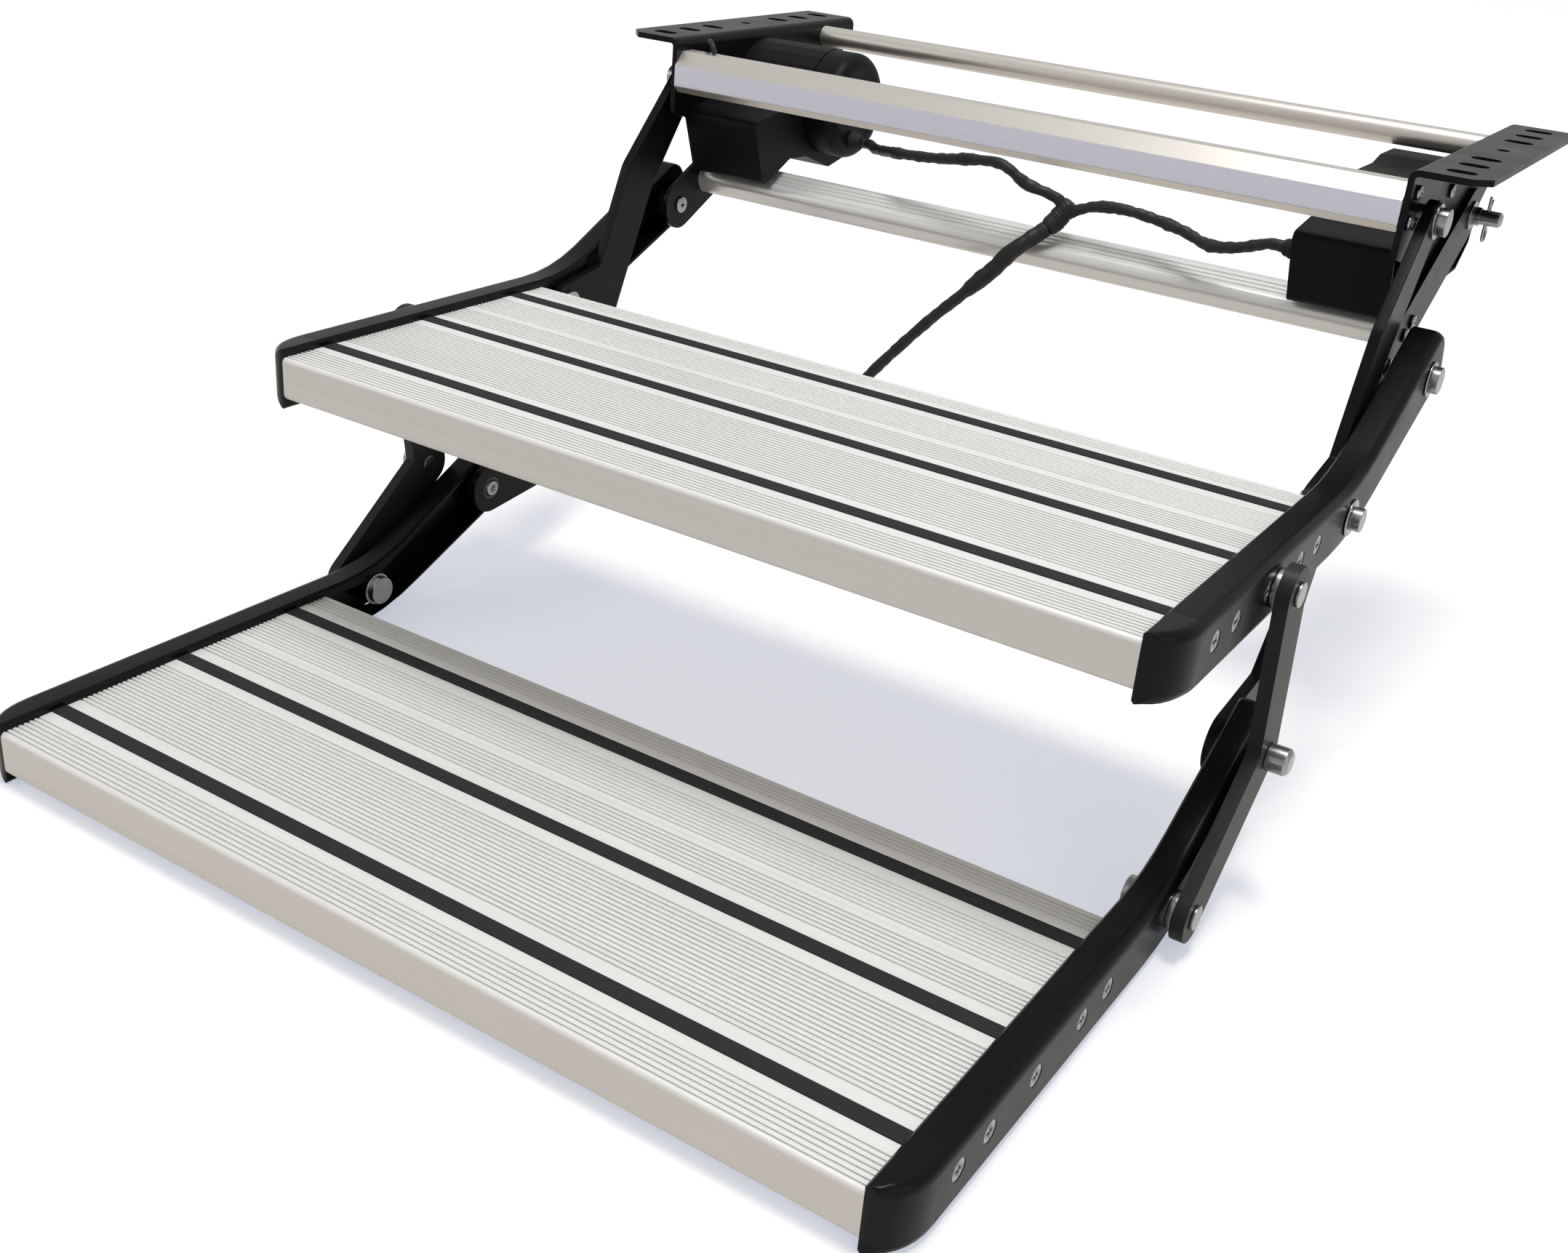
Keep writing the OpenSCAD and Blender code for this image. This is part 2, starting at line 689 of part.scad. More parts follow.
module rail_pocket(o, kink, tail) {
    foot = rail_lip - rail_h + rail_wall;
    depth = pocket_top - foot;
    translate(o + [cap_len - eps, foot]) square([kink[0] - o[0] - cap_len + eps, depth]);
    strap([kink[0], o[1] + foot + depth / 2], tail, depth, tail_h - 2 * rail_wall);
}

module rail(o, kink, tail, pins) color(black) difference() {
    union() {
        difference() {
            line = rail_line(o, kink, tail);
            swept_rail(line, [for (row = line) rail_w]);
            slab(half_w - eps, rail_w - rail_wall + eps) rail_pocket(o, kink, tail);
        }
        for (p = pins) rod(p, boss_r, half_w, rail_out - eps);
        for (v = rail_screws) rod(o + [v, screw_z], screw_boss_r, half_w, rail_out - eps);
    }
    for (p = pins) rod(p, bore_r, half_w - eps, rail_out + eps);
    for (v = rail_screws) {
        rod(o + [v, screw_z], screw_r + run, half_w - eps, rail_out + eps);
        cone(o + [v, screw_z], screw_r + run, screw_head_r + run, rail_out - screw_head_t, rail_out);
    }
}

module rail_screw_set(o) color(zinc) both() for (v = rail_screws) {
    rod(o + [v, screw_z], screw_r, rail_out - screw_len, rail_out - screw_head_t);
    cone(o + [v, screw_z], screw_r, screw_head_r, rail_out - screw_head_t, rail_out);
}

function arc(c, r, a0, a1, n) = [for (i = [0:n]) let(a = a0 + (a1 - a0) * i / n) c + r * [cos(a), sin(a)]];
function notch(c, w, depth) = [[c - w / 2, 0], [c - w / 2, -depth], [c + w / 2, -depth], [c + w / 2, 0]];
function rib_field(v0, v1) = let(n = floor((v1 - v0) / rib_pitch),
    first = v0 + (v1 - v0 - (n - 1) * rib_pitch) / 2)
    [for (i = [0:n - 1]) each notch(first + i * rib_pitch, rib_gap, rib_depth)];
function strip_notch(c) = notch(c, strip_w, strip_seat);

strip_band = strip_w / 2 + plain_band;
front_top = concat(
    arc([nose_foot_r, nose_foot_r - tread_t], nose_foot_r, 270, 180, 6),
    arc([nose_top_r, -nose_top_r], nose_top_r, 180, 90, 6),
    [for (v = nose_grooves) each notch(v, groove_w, groove_depth)],
    rib_field(nose_grooves[1] + nose_margin, strips[0] - strip_band),
    strip_notch(strips[0]),
    rib_field(strips[0] + strip_band, strips[1] - strip_band),
    strip_notch(strips[1]),
    rib_field(strips[1] + strip_band, front_plank - plank_margin),
    [[front_plank - plank_gap / 2, 0], [front_plank - plank_gap / 2, -tread_t]]);
rear_top = concat(
    [[front_plank + plank_gap / 2, -tread_t], [front_plank + plank_gap / 2, 0]],
    rib_field(front_plank + plank_margin, strips[2] - strip_band),
    strip_notch(strips[2]),
    rib_field(strips[2] + strip_band, tread_depth - plank_margin),
    [[tread_depth, 0], [tread_depth, -tread_t]]);
port_half = screw_r + port_wall;
cell_top = -strip_seat - plank_wall;
front_cells = [[nose_top_r, rail_screws[0] - port_half],
    for (i = [0, 1]) [rail_screws[i] + port_half, rail_screws[i + 1] - port_half],
    [rail_screws[2] + port_half, front_plank - plank_wall]];
rear_cells = [[rail_screws[3] + port_half, rail_screws[4] - port_half],
    [rail_screws[4] + port_half, tread_depth - plank_wall]];

module plank(o, outline, cells, ports) color(silver) slab(-half_w, tread_w) translate(o) difference() {
    polygon(outline);
    for (c = cells) translate([c[0], plank_wall - tread_t])
        square([c[1] - c[0], cell_top - plank_wall + tread_t]);
    for (v = ports) translate([v, screw_z]) circle(screw_r + run);
}

module front_tread_plank(o) plank(o, front_top, front_cells, [for (i = [0:2]) rail_screws[i]]);
module rear_tread_plank(o) plank(o, rear_top, rear_cells, [for (i = [3, 4]) rail_screws[i]]);

module grip_strips(o) color(rubber) slab(-half_w, tread_w) for (v = strips)
    translate(o + [v - strip_w / 2, -strip_seat]) square([strip_w, strip_seat + strip_stand]);

spigot_len = 8;
spigot_inset = 2;

// The cap narrows to its tip on a quarter of an ellipse
cap_steps = 8;
module cap(o) color(black) {
    turn = [for (k = [0:cap_steps]) 90 * k / cap_steps];
    swept_rail([for (w = turn) [o[0] + cap_len * (1 - cos(w)), o[1] + rail_mid, rail_h / 2]],
        [for (w = turn) cap_tip + (rail_w - cap_tip) * sin(w)]);
    translate([half_w + spigot_inset, o[0] + cap_len - eps, o[1] + rail_lip - rail_h + rail_wall + part_gap])
        cube([rail_w - rail_wall - spigot_inset - part_gap, spigot_len + eps,
            pocket_top - 2 * part_gap - (rail_lip - rail_h + rail_wall)]);
}

module upper_left_rail() mirror([1, 0, 0]) upper_right_rail();
module upper_right_rail() rail(upper, upper_kink, pivot_d, [pivot_c, pivot_d, pivot_f]);
module upper_front_plank() front_tread_plank(upper);
module upper_rear_plank() rear_tread_plank(upper);
module upper_grip_strips() grip_strips(upper);
module upper_left_cap() mirror([1, 0, 0]) cap(upper);
module upper_right_cap() cap(upper);
module upper_rail_screws() rail_screw_set(upper);

module upper_pins() color(zinc) both() {
    rod(pivot_c, head_r, arm_in - collar_t - run, arm_in - run);
    rod(pivot_c, pin_r, arm_in - collar_t, rail_out + washer_t);
    rod(pivot_c, rail_head_r, rail_out + washer_t, rail_out + washer_t + bolt_head_t);
    rod(pivot_d, head_r, half_w - collar_t, half_w);
    rod(pivot_d, pin_r, half_w - collar_t, rail_out + washer_t);
    rod(pivot_d, head_r, rail_out + washer_t, rail_out + washer_t + round_head_t);
}

module upper_washers() color(zinc) both() {
    for (p = [pivot_c, pivot_d]) ring(p, washer_r, bore_r, rail_out, rail_out + washer_t);
    ring(pivot_f, washer_r, bore_r, rail_out, outer_in - run);
}

module outer_link_pins() color(zinc) both() {
    rod(pivot_f, pin_r, half_w + part_gap, outer_out + run);
    rod(pivot_f, rail_head_r, outer_out + run, outer_out + rivet_head_t);
}

// Outer links between the two steps

module outer_link() color(black) difference() {
    slab(outer_in, outer_t) {
        strap(pivot_f, outer_knee, outer_w, outer_w);
        strap(outer_knee, pivot_g, outer_w, outer_w);
    }
    rod(pivot_f, bush_r + run, outer_in - eps, outer_out + eps);
    for (p = [pivot_g, outer_knee]) rod(p, bore_r, outer_in - eps, outer_out + eps);
}

module left_outer_link() mirror([1, 0, 0]) outer_link();
module right_outer_link() outer_link();
module outer_bushes() color(bush_white) both() ring(pivot_f, bush_r, bore_r, outer_in, outer_out);

stop_r = 8;
stop_len = 13;
stop_chamfer = 2;

module stop_pins() color(zinc) both() {
    rod(outer_knee, pin_r, outer_in, outer_out);
    rod(outer_knee, stop_r, outer_out, outer_out + stop_len - stop_chamfer);
    cone(outer_knee, stop_r, stop_r - stop_chamfer,
        outer_out + stop_len - stop_chamfer, outer_out + stop_len);
}

module outer_studs() color(zinc) both() {
    rod(pivot_g, pin_r, outer_in, outer_out);
    rod(pivot_g, rail_head_r, outer_out, outer_out + rivet_head_t);
}

module lower_left_rail() mirror([1, 0, 0]) lower_right_rail();
module lower_right_rail() rail(lower, lower_kink, pivot_e, [pivot_e, pivot_g]);
module lower_front_plank() front_tread_plank(lower);
module lower_rear_plank() rear_tread_plank(lower);
module lower_grip_strips() grip_strips(lower);
module lower_caps() both() cap(lower);
module lower_rail_screws() rail_screw_set(lower);

module lower_pins() color(zinc) both() {
    rod(pivot_e, head_r, arm_in - collar_t - run, arm_in - run);
    rod(pivot_e, pin_r, arm_in - collar_t, rail_out);
    rod(pivot_e, head_r, rail_out, rail_out + rivet_head_t);
    rod(pivot_g, big_head_r, half_w - washer_t - round_head_t, half_w - washer_t);
    rod(pivot_g, washer_r, half_w - washer_t, half_w);
    rod(pivot_g, pin_r, half_w - washer_t, outer_in - part_gap);
    rod(pivot_g, washer_r, rail_out, outer_in - part_gap);
}

left_bracket();
right_bracket();
tie_bar();
tie_bolts();
light_housing();
light_diffuser();
light_strip();
light_screws();
light_grommet();
light_lead();
drive_cover();
gearbox();
motor();
control_cover();
control_module();
cover_screws();
cable_glands();
motor_cable();
control_cable();
joint_sleeve();
trunk_cable();
trunk_connector();
bracket_pins();
bracket_washers();
rear_pin();
pin_clip();
left_arm();
right_arm();
arm_bushes();
left_rear_link();
right_rear_link();
crossbar();
crossbar_screws();
drive_shaft();
rear_bush();
tail_rivets();
upper_left_rail();
upper_right_rail();
upper_front_plank();
upper_rear_plank();
upper_grip_strips();
upper_left_cap();
upper_right_cap();
upper_rail_screws();
upper_pins();
upper_washers();
outer_link_pins();
left_outer_link();
right_outer_link();
outer_bushes();
stop_pins();
outer_studs();
lower_left_rail();
lower_right_rail();
lower_front_plank();
lower_rear_plank();
lower_grip_strips();
lower_caps();
lower_rail_screws();
lower_pins();
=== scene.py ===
import json

import bpy
import numpy as np
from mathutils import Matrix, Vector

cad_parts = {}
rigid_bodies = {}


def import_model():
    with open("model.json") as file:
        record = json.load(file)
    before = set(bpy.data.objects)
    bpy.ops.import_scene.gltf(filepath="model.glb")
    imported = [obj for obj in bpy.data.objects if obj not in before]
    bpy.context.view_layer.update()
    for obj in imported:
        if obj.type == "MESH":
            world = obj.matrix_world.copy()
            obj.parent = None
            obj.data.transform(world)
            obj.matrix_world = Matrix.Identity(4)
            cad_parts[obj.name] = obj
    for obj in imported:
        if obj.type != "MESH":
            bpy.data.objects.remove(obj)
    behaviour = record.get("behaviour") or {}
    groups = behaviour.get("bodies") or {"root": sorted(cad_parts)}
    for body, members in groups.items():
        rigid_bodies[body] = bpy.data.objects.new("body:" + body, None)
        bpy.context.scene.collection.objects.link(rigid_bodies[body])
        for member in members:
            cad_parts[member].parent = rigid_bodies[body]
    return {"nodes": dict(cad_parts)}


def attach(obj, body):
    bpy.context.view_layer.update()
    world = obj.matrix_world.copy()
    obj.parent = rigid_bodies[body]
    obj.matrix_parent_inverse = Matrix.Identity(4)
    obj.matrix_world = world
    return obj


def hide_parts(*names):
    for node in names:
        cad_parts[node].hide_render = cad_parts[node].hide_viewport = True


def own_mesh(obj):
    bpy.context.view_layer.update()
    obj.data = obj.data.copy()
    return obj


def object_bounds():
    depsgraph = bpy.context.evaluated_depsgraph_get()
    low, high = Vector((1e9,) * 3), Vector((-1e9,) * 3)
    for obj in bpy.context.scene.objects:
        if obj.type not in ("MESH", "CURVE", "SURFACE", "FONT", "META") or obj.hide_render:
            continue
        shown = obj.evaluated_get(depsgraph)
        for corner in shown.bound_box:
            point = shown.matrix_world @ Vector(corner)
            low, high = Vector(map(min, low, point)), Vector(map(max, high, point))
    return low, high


# The view: a camera ahead and to the right of the step, which stands on a pale studio floor.
# Light comes from a small box overhead, weaker boxes at the left and right, and a dim white surround.
for old in list(bpy.data.objects):
    bpy.data.objects.remove(old)
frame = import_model()
node = frame["nodes"]
cad_box = [list(corner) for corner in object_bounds()]
scene = bpy.context.scene

camera = bpy.data.objects.new("camera", bpy.data.cameras.new("camera"))
camera.location = (0.511, -1.1868, 0.1768)
camera.rotation_euler = np.radians((63.657, -4.420, 33.421)).tolist()
camera.data.lens = 39.63
camera.data.sensor_width = 36
camera.data.shift_x = 0.0006
camera.data.shift_y = 0.0022
scene.collection.objects.link(camera)
scene.camera = camera
scene.view_settings.view_transform = "Standard"


def srgb(code):
    """A six-digit sRGB hex value as a linear RGBA colour."""
    c = np.array([int(code[i:i + 2], 16) for i in (0, 2, 4)]) / 255
    return (*np.where(c <= 0.04045, c / 12.92, ((c + 0.055) / 1.055) ** 2.4).tolist(), 1.0)


def add(tree, kind, inputs=(), **settings):
    """Adds one node to a tree: its settings, then each socket's value or the output that feeds it."""
    made = tree.nodes.new("ShaderNode" + kind)
    for name, value in settings.items():
        setattr(made, name, value)
    for socket, value in dict(inputs).items():
        if isinstance(value, bpy.types.NodeSocket):
            tree.links.new(value, made.inputs[socket])
        else:
            made.inputs[socket].default_value = value
    return made


def new_finish(name):
    """An empty material: itself, its node tree, the socket for its surface and the object's coordinates."""
    made = bpy.data.materials.new(name)
    made.use_nodes = True
    tree = made.node_tree
    tree.nodes.clear()
    return made, tree, add(tree, "OutputMaterial").inputs["Surface"], add(tree, "TexCoord").outputs["Object"]


def put_mesh(name, shape, finish):
    """A smooth mesh object at the origin, from points, faces and, where given, how deep each point lies
    in a recess, which goes into a UV map. The zinc finish reads that map to paint shade into the recess."""
    points, faces, *sunk = shape
    mesh = bpy.data.meshes.new(name)
    mesh.from_pydata(points.tolist(), [], faces)
    mesh.polygons.foreach_set("use_smooth", np.ones(len(mesh.polygons), bool))
    if sunk:
        corner = np.empty(len(mesh.loops), int)
        mesh.loops.foreach_get("vertex_index", corner)
        mesh.uv_layers.new(name="recess").data.foreach_set("uv", np.repeat(sunk[0][corner], 2))
    mesh.materials.append(finish)
    made = bpy.data.objects.new(name, mesh)
    made.modifiers.new("faces", "WEIGHTED_NORMAL").weight = 80
    scene.collection.objects.link(made)
    return made


# Surround: a dim white light, which is full white to the camera and a little lifted in reflections.
surround_light, surround_white, share_mirrored = 0.45, 1.0, 0.2
world = bpy.data.worlds.new("studio")
scene.world = world
world.use_nodes = True
tree = world.node_tree
tree.nodes.clear()
ray = add(tree, "LightPath").outputs
seen = add(tree, "Math", {0: ray["Is Glossy Ray"], 1: share_mirrored, 2: ray["Is Camera Ray"]},
           operation="MULTIPLY_ADD")
level = add(tree, "Math", {0: seen.outputs[0], 1: surround_white - surround_light, 2: surround_light},
            operation="MULTIPLY_ADD")
sky = add(tree, "Background", {"Color": (1, 1, 1, 1), "Strength": level.outputs[0]})
tree.links.new(sky.outputs[0], add(tree, "OutputWorld").inputs["Surface"])

# Studio paper: matt, off white, lifted towards white where the camera sees it, and half as much in
# reflections. Near the step it is lifted less than 3 m away, so that the step's shadow stays.
share_mirrored, reach, floor_z = 0.5, 16.0, cad_box[0][2]
paper_finish, tree, surface, at = new_finish("pale_studio_paper")
speckle = add(tree, "TexNoise", {"Vector": at, "Scale": 60.0, "Detail": 3.0})
paper = add(tree, "MixRGB", {"Fac": speckle.outputs["Fac"], "Color1": srgb("d3cabc"), "Color2": srgb("d8d0c3")})
matt = add(tree, "BsdfPrincipled", {"Base Color": paper.outputs[0], "Roughness": 0.95})
ray = add(tree, "LightPath").outputs
seen = add(tree, "Math", {0: ray["Is Glossy Ray"], 1: share_mirrored, 2: ray["Is Camera Ray"]},
           operation="MULTIPLY_ADD")
away = add(tree, "VectorMath", {0: at}, operation="LENGTH").outputs["Value"]
falloff = add(tree, "MapRange", {"Value": away, "From Min": 0.8, "From Max": 3.0,
                                 "To Min": 0.55, "To Max": 0.85}, interpolation_type="SMOOTHSTEP")
lift = add(tree, "Math", {0: seen.outputs[0], 1: falloff.outputs[0]}, operation="MULTIPLY")
glow = add(tree, "Emission", {"Color": srgb("e3edff"), "Strength": lift.outputs[0]})
tree.links.new(add(tree, "AddShader", {0: matt.outputs[0], 1: glow.outputs[0]}).outputs[0], surface)
corners = np.array([(-reach, -reach), (reach, -reach), (reach, reach), (-reach, reach)])
floor = np.column_stack([corners, np.full(4, floor_z)])
put_mesh("floor", (floor, [[0, 1, 2, 3]]), paper_finish)

# Lamps: square boxes aimed at the treads. Each row is a name, a place, a side in metres, watts and a tint.
aim = np.array((0, -0.25, -0.2))
for name, place, size, watts, tone in (("overhead_box", (0.3, -0.35, 2.4), 0.75, 54, "fbfcff"),
                                       ("left_box", (-2.2, -1.8, 0.9), 1.0, 5, "fffdf8"),
                                       ("right_box", (2.2, -1.0, 0.6), 1.4, 3, "fff3e4")):
    lamp = bpy.data.objects.new(name, bpy.data.lights.new(name, "AREA"))
    lamp.data.energy, lamp.data.size, lamp.data.color = watts, size, srgb(tone)[:3]
    away = np.array(place) - aim
    tilt = np.arccos(away[2] / np.linalg.norm(away))
    heading = np.arctan2(away[1], away[0]) + np.pi / 2
    lamp.location, lamp.rotation_euler = place, (tilt, 0, heading)
    scene.collection.objects.link(lamp)

# Mounting brackets: two lengths of 4 mm steel angle, bent, slotted, and powder coated black.
# The coat rounds the sheared edges a little and dries with a fine orange peel.
# Powder coat on steel: near black with a faint blue cast, half gloss, and an orange peel about 1.5 mm across.
coat_finish, tree, surface, at = new_finish("black_powder_coat_on_steel")
cloud = add(tree, "TexNoise", {"Vector": at, "Scale": 22.0, "Detail": 4.0, "Roughness": 0.6})
peel = add(tree, "TexNoise", {"Vector": at, "Scale": 1 / 0.0015, "Detail": 2.0})
tint = add(tree, "MixRGB", {"Fac": cloud.outputs["Fac"], "Color1": srgb("090a0c"), "Color2": srgb("101214")})
gloss = add(tree, "MapRange", {"Value": cloud.outputs["Fac"], "From Min": 0.3, "From Max": 0.7,
                               "To Min": 0.27, "To Max": 0.35})
bumps = add(tree, "Bump", {"Height": peel.outputs["Fac"], "Strength": 0.15, "Distance": 0.0004})
coat = add(tree, "BsdfPrincipled", {"Base Color": tint.outputs[0], "Roughness": gloss.outputs[0],
                                    "Normal": bumps.outputs[0], "Specular IOR Level": 0.12})
tree.links.new(coat.outputs[0], surface)

weld_tree = bpy.data.node_groups.new("welded_faces", "GeometryNodeTree")
weld_tree.interface.new_socket("Geometry", in_out="INPUT", socket_type="NodeSocketGeometry")
weld_tree.interface.new_socket("Geometry", in_out="OUTPUT", socket_type="NodeSocketGeometry")
link = weld_tree.nodes.new("NodeGroupInput").outputs[0]
for kind, socket, value in (("MergeByDistance", "Distance", 1e-6), ("RemoveAttribute", "Name", "custom_normal"),
                            ("SetShadeSmooth", "Shade Smooth", True)):
    made = weld_tree.nodes.new("GeometryNode" + kind)
    made.inputs[socket].default_value = value
    weld_tree.links.new(link, made.inputs[0])
    link = made.outputs[0]
weld_tree.links.new(link, weld_tree.nodes.new("NodeGroupOutput").inputs[0])


def dress(names, finish, edge):
    """Gives CAD nodes their finish, and rounds their sharp edges by `edge` metres with live modifiers."""
    for name in names.split():
        piece = node[name]
        piece.data.materials.clear()
        piece.data.materials.append(finish)
        piece.modifiers.new("weld", "NODES").node_group = weld_tree
        flat = piece.modifiers.new("flat", "DECIMATE")
        flat.decimate_type, flat.angle_limit = "DISSOLVE", np.radians(0.5)
        bevel = piece.modifiers.new("edge", "BEVEL")
        bevel.width, bevel.segments, bevel.limit_method = edge, 2, "ANGLE"
        bevel.angle_limit, bevel.use_clamp_overlap = np.radians(38), True
        piece.modifiers.new("faces", "WEIGHTED_NORMAL").weight = 80


dress("left_bracket right_bracket", coat_finish, 0.0006)

# Tie bar: a round aluminium bar, drawn and sawn to length, that keeps the brackets apart.
# A zinc plated bolt through each web holds it.
# Drawn aluminium: bright, with faint lines along its length that stretch each highlight.
drawn_finish, tree, surface, at = new_finish("bright_drawn_aluminium")
lines = add(tree, "Mapping", {"Vector": at, "Scale": (1.0, 1 / 0.0025, 1 / 0.0025)})
grain = add(tree, "TexNoise", {"Vector": lines.outputs[0], "Scale": 1.0, "Detail": 3.0})
tint = add(tree, "MixRGB", {"Fac": grain.outputs["Fac"], "Color1": srgb("d2cdc4"), "Color2": srgb("dcd7cf")})
gloss = add(tree, "MapRange", {"Value": grain.outputs["Fac"], "To Min": 0.32, "To Max": 0.38})
bumps = add(tree, "Bump", {"Height": grain.outputs["Fac"], "Strength": 0.015, "Distance": 0.0002})
metal = add(tree, "BsdfPrincipled", {"Base Color": tint.outputs[0], "Roughness": gloss.outputs[0],
                                     "Normal": bumps.outputs[0], "Metallic": 0.8})
tree.links.new(metal.outputs[0], surface)
dress("tie_bar", drawn_finish, 0.0005)

# Zinc plate: bluish bright metal, cloudy in patches about 6 mm wide, with painted shade in driver recesses.
zinc_finish, tree, surface, at = new_finish("bright_zinc_plate")
patch = add(tree, "TexNoise", {"Vector": at, "Scale": 1 / 0.006, "Detail": 3.0})
tint = add(tree, "MixRGB", {"Fac": patch.outputs["Fac"], "Color1": srgb("97989b"), "Color2": srgb("acadaf")})
# Painted shade: the recess UV map darkens each driver recess towards near black, the deeper the point sinks the
# darker.
depth = add(tree, "SeparateXYZ", {"Vector": add(tree, "UVMap", uv_map="recess").outputs[0]})
tint = add(tree, "MixRGB", {"Fac": depth.outputs["X"], "Color1": tint.outputs[0], "Color2": srgb("1d1c1a")})
gloss = add(tree, "MapRange", {"Value": patch.outputs["Fac"], "From Min": 0.3, "From Max": 0.7,
                               "To Min": 0.22, "To Max": 0.3})
metal = add(tree, "BsdfPrincipled", {"Base Color": tint.outputs[0], "Roughness": gloss.outputs[0],
                                     "Metallic": 1.0})
tree.links.new(metal.outputs[0], surface)


def ringed(rings, first, last):
    """A closed surface through a stack of rings: quads between neighbours and a fan at each end."""
    rows, cols = rings.shape[:2]
    i, j = np.meshgrid(np.arange(rows - 1), np.arange(cols), indexing="ij")
    k = (j + 1) % cols
    sides = np.stack([i * cols + j, i * cols + k, (i + 1) * cols + k, (i + 1) * cols + j], -1).reshape(-1, 4)
    j, top = np.arange(cols), (rows - 1) * cols
    k, pole = (j + 1) % cols, np.full(cols, rows * cols)
    ends = np.concatenate([np.stack([pole, k, j], 1), np.stack([top + j, top + k, pole + 1], 1)])
    return np.vstack([rings.reshape(-1, 3), first, last]), sides.tolist() + ends.tolist()


def turned(profile, cross=None, sides=72):
    """A shape turned about X from (x, radius) rows in millimetres. A cross recess (arm, half width, depth)
    sinks the last rows where the larger of min(width - |y|, arm - |z|) and its twin is above zero."""
    x, r = np.array(profile).T[:, :, None] / 1000
    turn = np.linspace(0, 2 * np.pi, sides, endpoint=False)
    y, z = r * np.cos(turn), r * np.sin(turn)
    x = x + 0 * turn
    sunk = 0 * x
    if cross:
        arm, half, depth = np.array(cross) / 1000
        a, b = np.abs(y), np.abs(z)
        inside = np.maximum(np.minimum(half - a, arm - b), np.minimum(half - b, arm - a))
        upper = np.arange(len(x))[:, None] > np.argmax(r[:, 0])
        sunk = upper * np.clip(inside / (0.4 * half) + 0.5, 0, 1)
        x = x - depth * sunk
    rings = np.stack([x, y, z], -1)
    points, faces = ringed(rings, rings[0].mean(0), rings[-1].mean(0))
    # How deep each point sinks is returned too; it paints shade into the recess.
    return points, faces, np.concatenate([sunk.ravel(), [0, sunk[-1].mean()]])


def set_out(shape, places):
    """One turned shape repeated at places (x, y, z) in millimetres. On the left it is the mirror image,
    with its faces turned round."""
    points, faces, sunk = shape
    all_points, all_faces = [], []
    for place in places:
        hand = 1 if place[0] > 0 else -1
        base = len(points) * len(all_points)
        all_faces += [[base + i for i in face[::hand]] for face in faces]
        all_points.append(points * (hand, 1, 1) + np.array(place) / 1000)
    return np.vstack(all_points), all_faces, np.tile(sunk, len(places))


def both_sides(places):
    """The same (x, y, z) places on the right and on the left."""
    return [(hand * x, y, z) for hand in (1, -1) for x, y, z in places]


def head_rows(radius, height, dome, rows=18):
    """Rows of a button head: a short upright rim, a quarter-round shoulder, then a low dome to the middle."""
    lean = np.linspace(0, np.pi / 2, 5)
    soft = 0.28 * height
    shoulder = [(height - dome - soft * (1 - np.sin(a)), radius - soft * (1 - np.cos(a))) for a in lean]
    t = np.linspace(1, 0.02, rows)
    top = [(height - dome * u * u, (radius - soft) * u) for u in t[1:]]
    return [(0, radius)] + shoulder + top


def stand_in(piece, body, hidden):
    """Lets a drawn piece ride on a body and stand for a CAD node, which it hides."""
    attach(piece, body)
    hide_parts(hidden)


web_face = 270
bolt_rows = [(-20, 0.1), (-20, 3), (-0.01, 3)] + head_rows(radius=5, height=3, dome=0.4)
bolt = turned(bolt_rows, cross=(2.6, 0.7, 1.4))
piece = put_mesh("tie_bolts_drawn", set_out(bolt, both_sides([(web_face, 79, -11.5)])), zinc_finish)
stand_in(piece, "chassis", "tie_bolts")

# Light bar: an aluminium channel across the front with a frosted strip lens pressed into it.
# Two pan head screws through each web hold it; its lead leaves the top near the left end.
dress("light_housing", drawn_finish, 0.0005)
# Frosted acrylic: milky white with a lavender cast, satin, with a very fine ripple along its length.
lens_finish, tree, surface, at = new_finish("frosted_acrylic_lens")
lines = add(tree, "Mapping", {"Vector": at, "Scale": (2.0, 300.0, 300.0)})
ripple = add(tree, "TexNoise", {"Vector": lines.outputs[0], "Scale": 1.0, "Detail": 2.0})
tint = add(tree, "MixRGB", {"Fac": ripple.outputs["Fac"], "Color1": srgb("e2e4fb"), "Color2": srgb("ebecff")})
lens = add(tree, "BsdfPrincipled", {"Base Color": tint.outputs[0], "Roughness": 0.42, "IOR": 1.49,
                                    "Subsurface Weight": 0.3, "Subsurface Radius": (0.004, 0.004, 0.005),
                                    "Subsurface Scale": 1.0})
tree.links.new(lens.outputs[0], surface)
dress("light_diffuser", lens_finish, 0.0004)
# White solder mask: the board behind the lens, with a row of yellow diode faces, 4 mm wide, every 16 mm.
diode_pitch, diode_width = 0.016, 0.004
board_finish, tree, surface, at = new_finish("white_solder_mask_board")
along = add(tree, "SeparateXYZ", {"Vector": at}).outputs["X"]
beat = add(tree, "Math", {0: along, 1: diode_pitch / 2}, operation="PINGPONG")
diode = add(tree, "Math", {0: beat.outputs[0], 1: diode_width / 2}, operation="LESS_THAN")
tint = add(tree, "MixRGB", {"Fac": diode.outputs[0], "Color1": srgb("f1efe6"), "Color2": srgb("e8cf62")})
board = add(tree, "BsdfPrincipled", {"Base Color": tint.outputs[0], "Roughness": 0.5})
tree.links.new(board.outputs[0], surface)
dress("light_strip", board_finish, 0.0002)

pan_rows = [(-10, 0.1), (-10, 2.5), (-0.01, 2.5)] + head_rows(radius=4.5, height=3, dome=0.7)
pan = turned(pan_rows, cross=(2.2, 0.6, 1.5))
spots = both_sides([(web_face, -117, -32), (web_face, -111, -15)])
piece = put_mesh("light_screws_driven", set_out(pan, spots), zinc_finish)
stand_in(piece, "chassis", "light_screws")

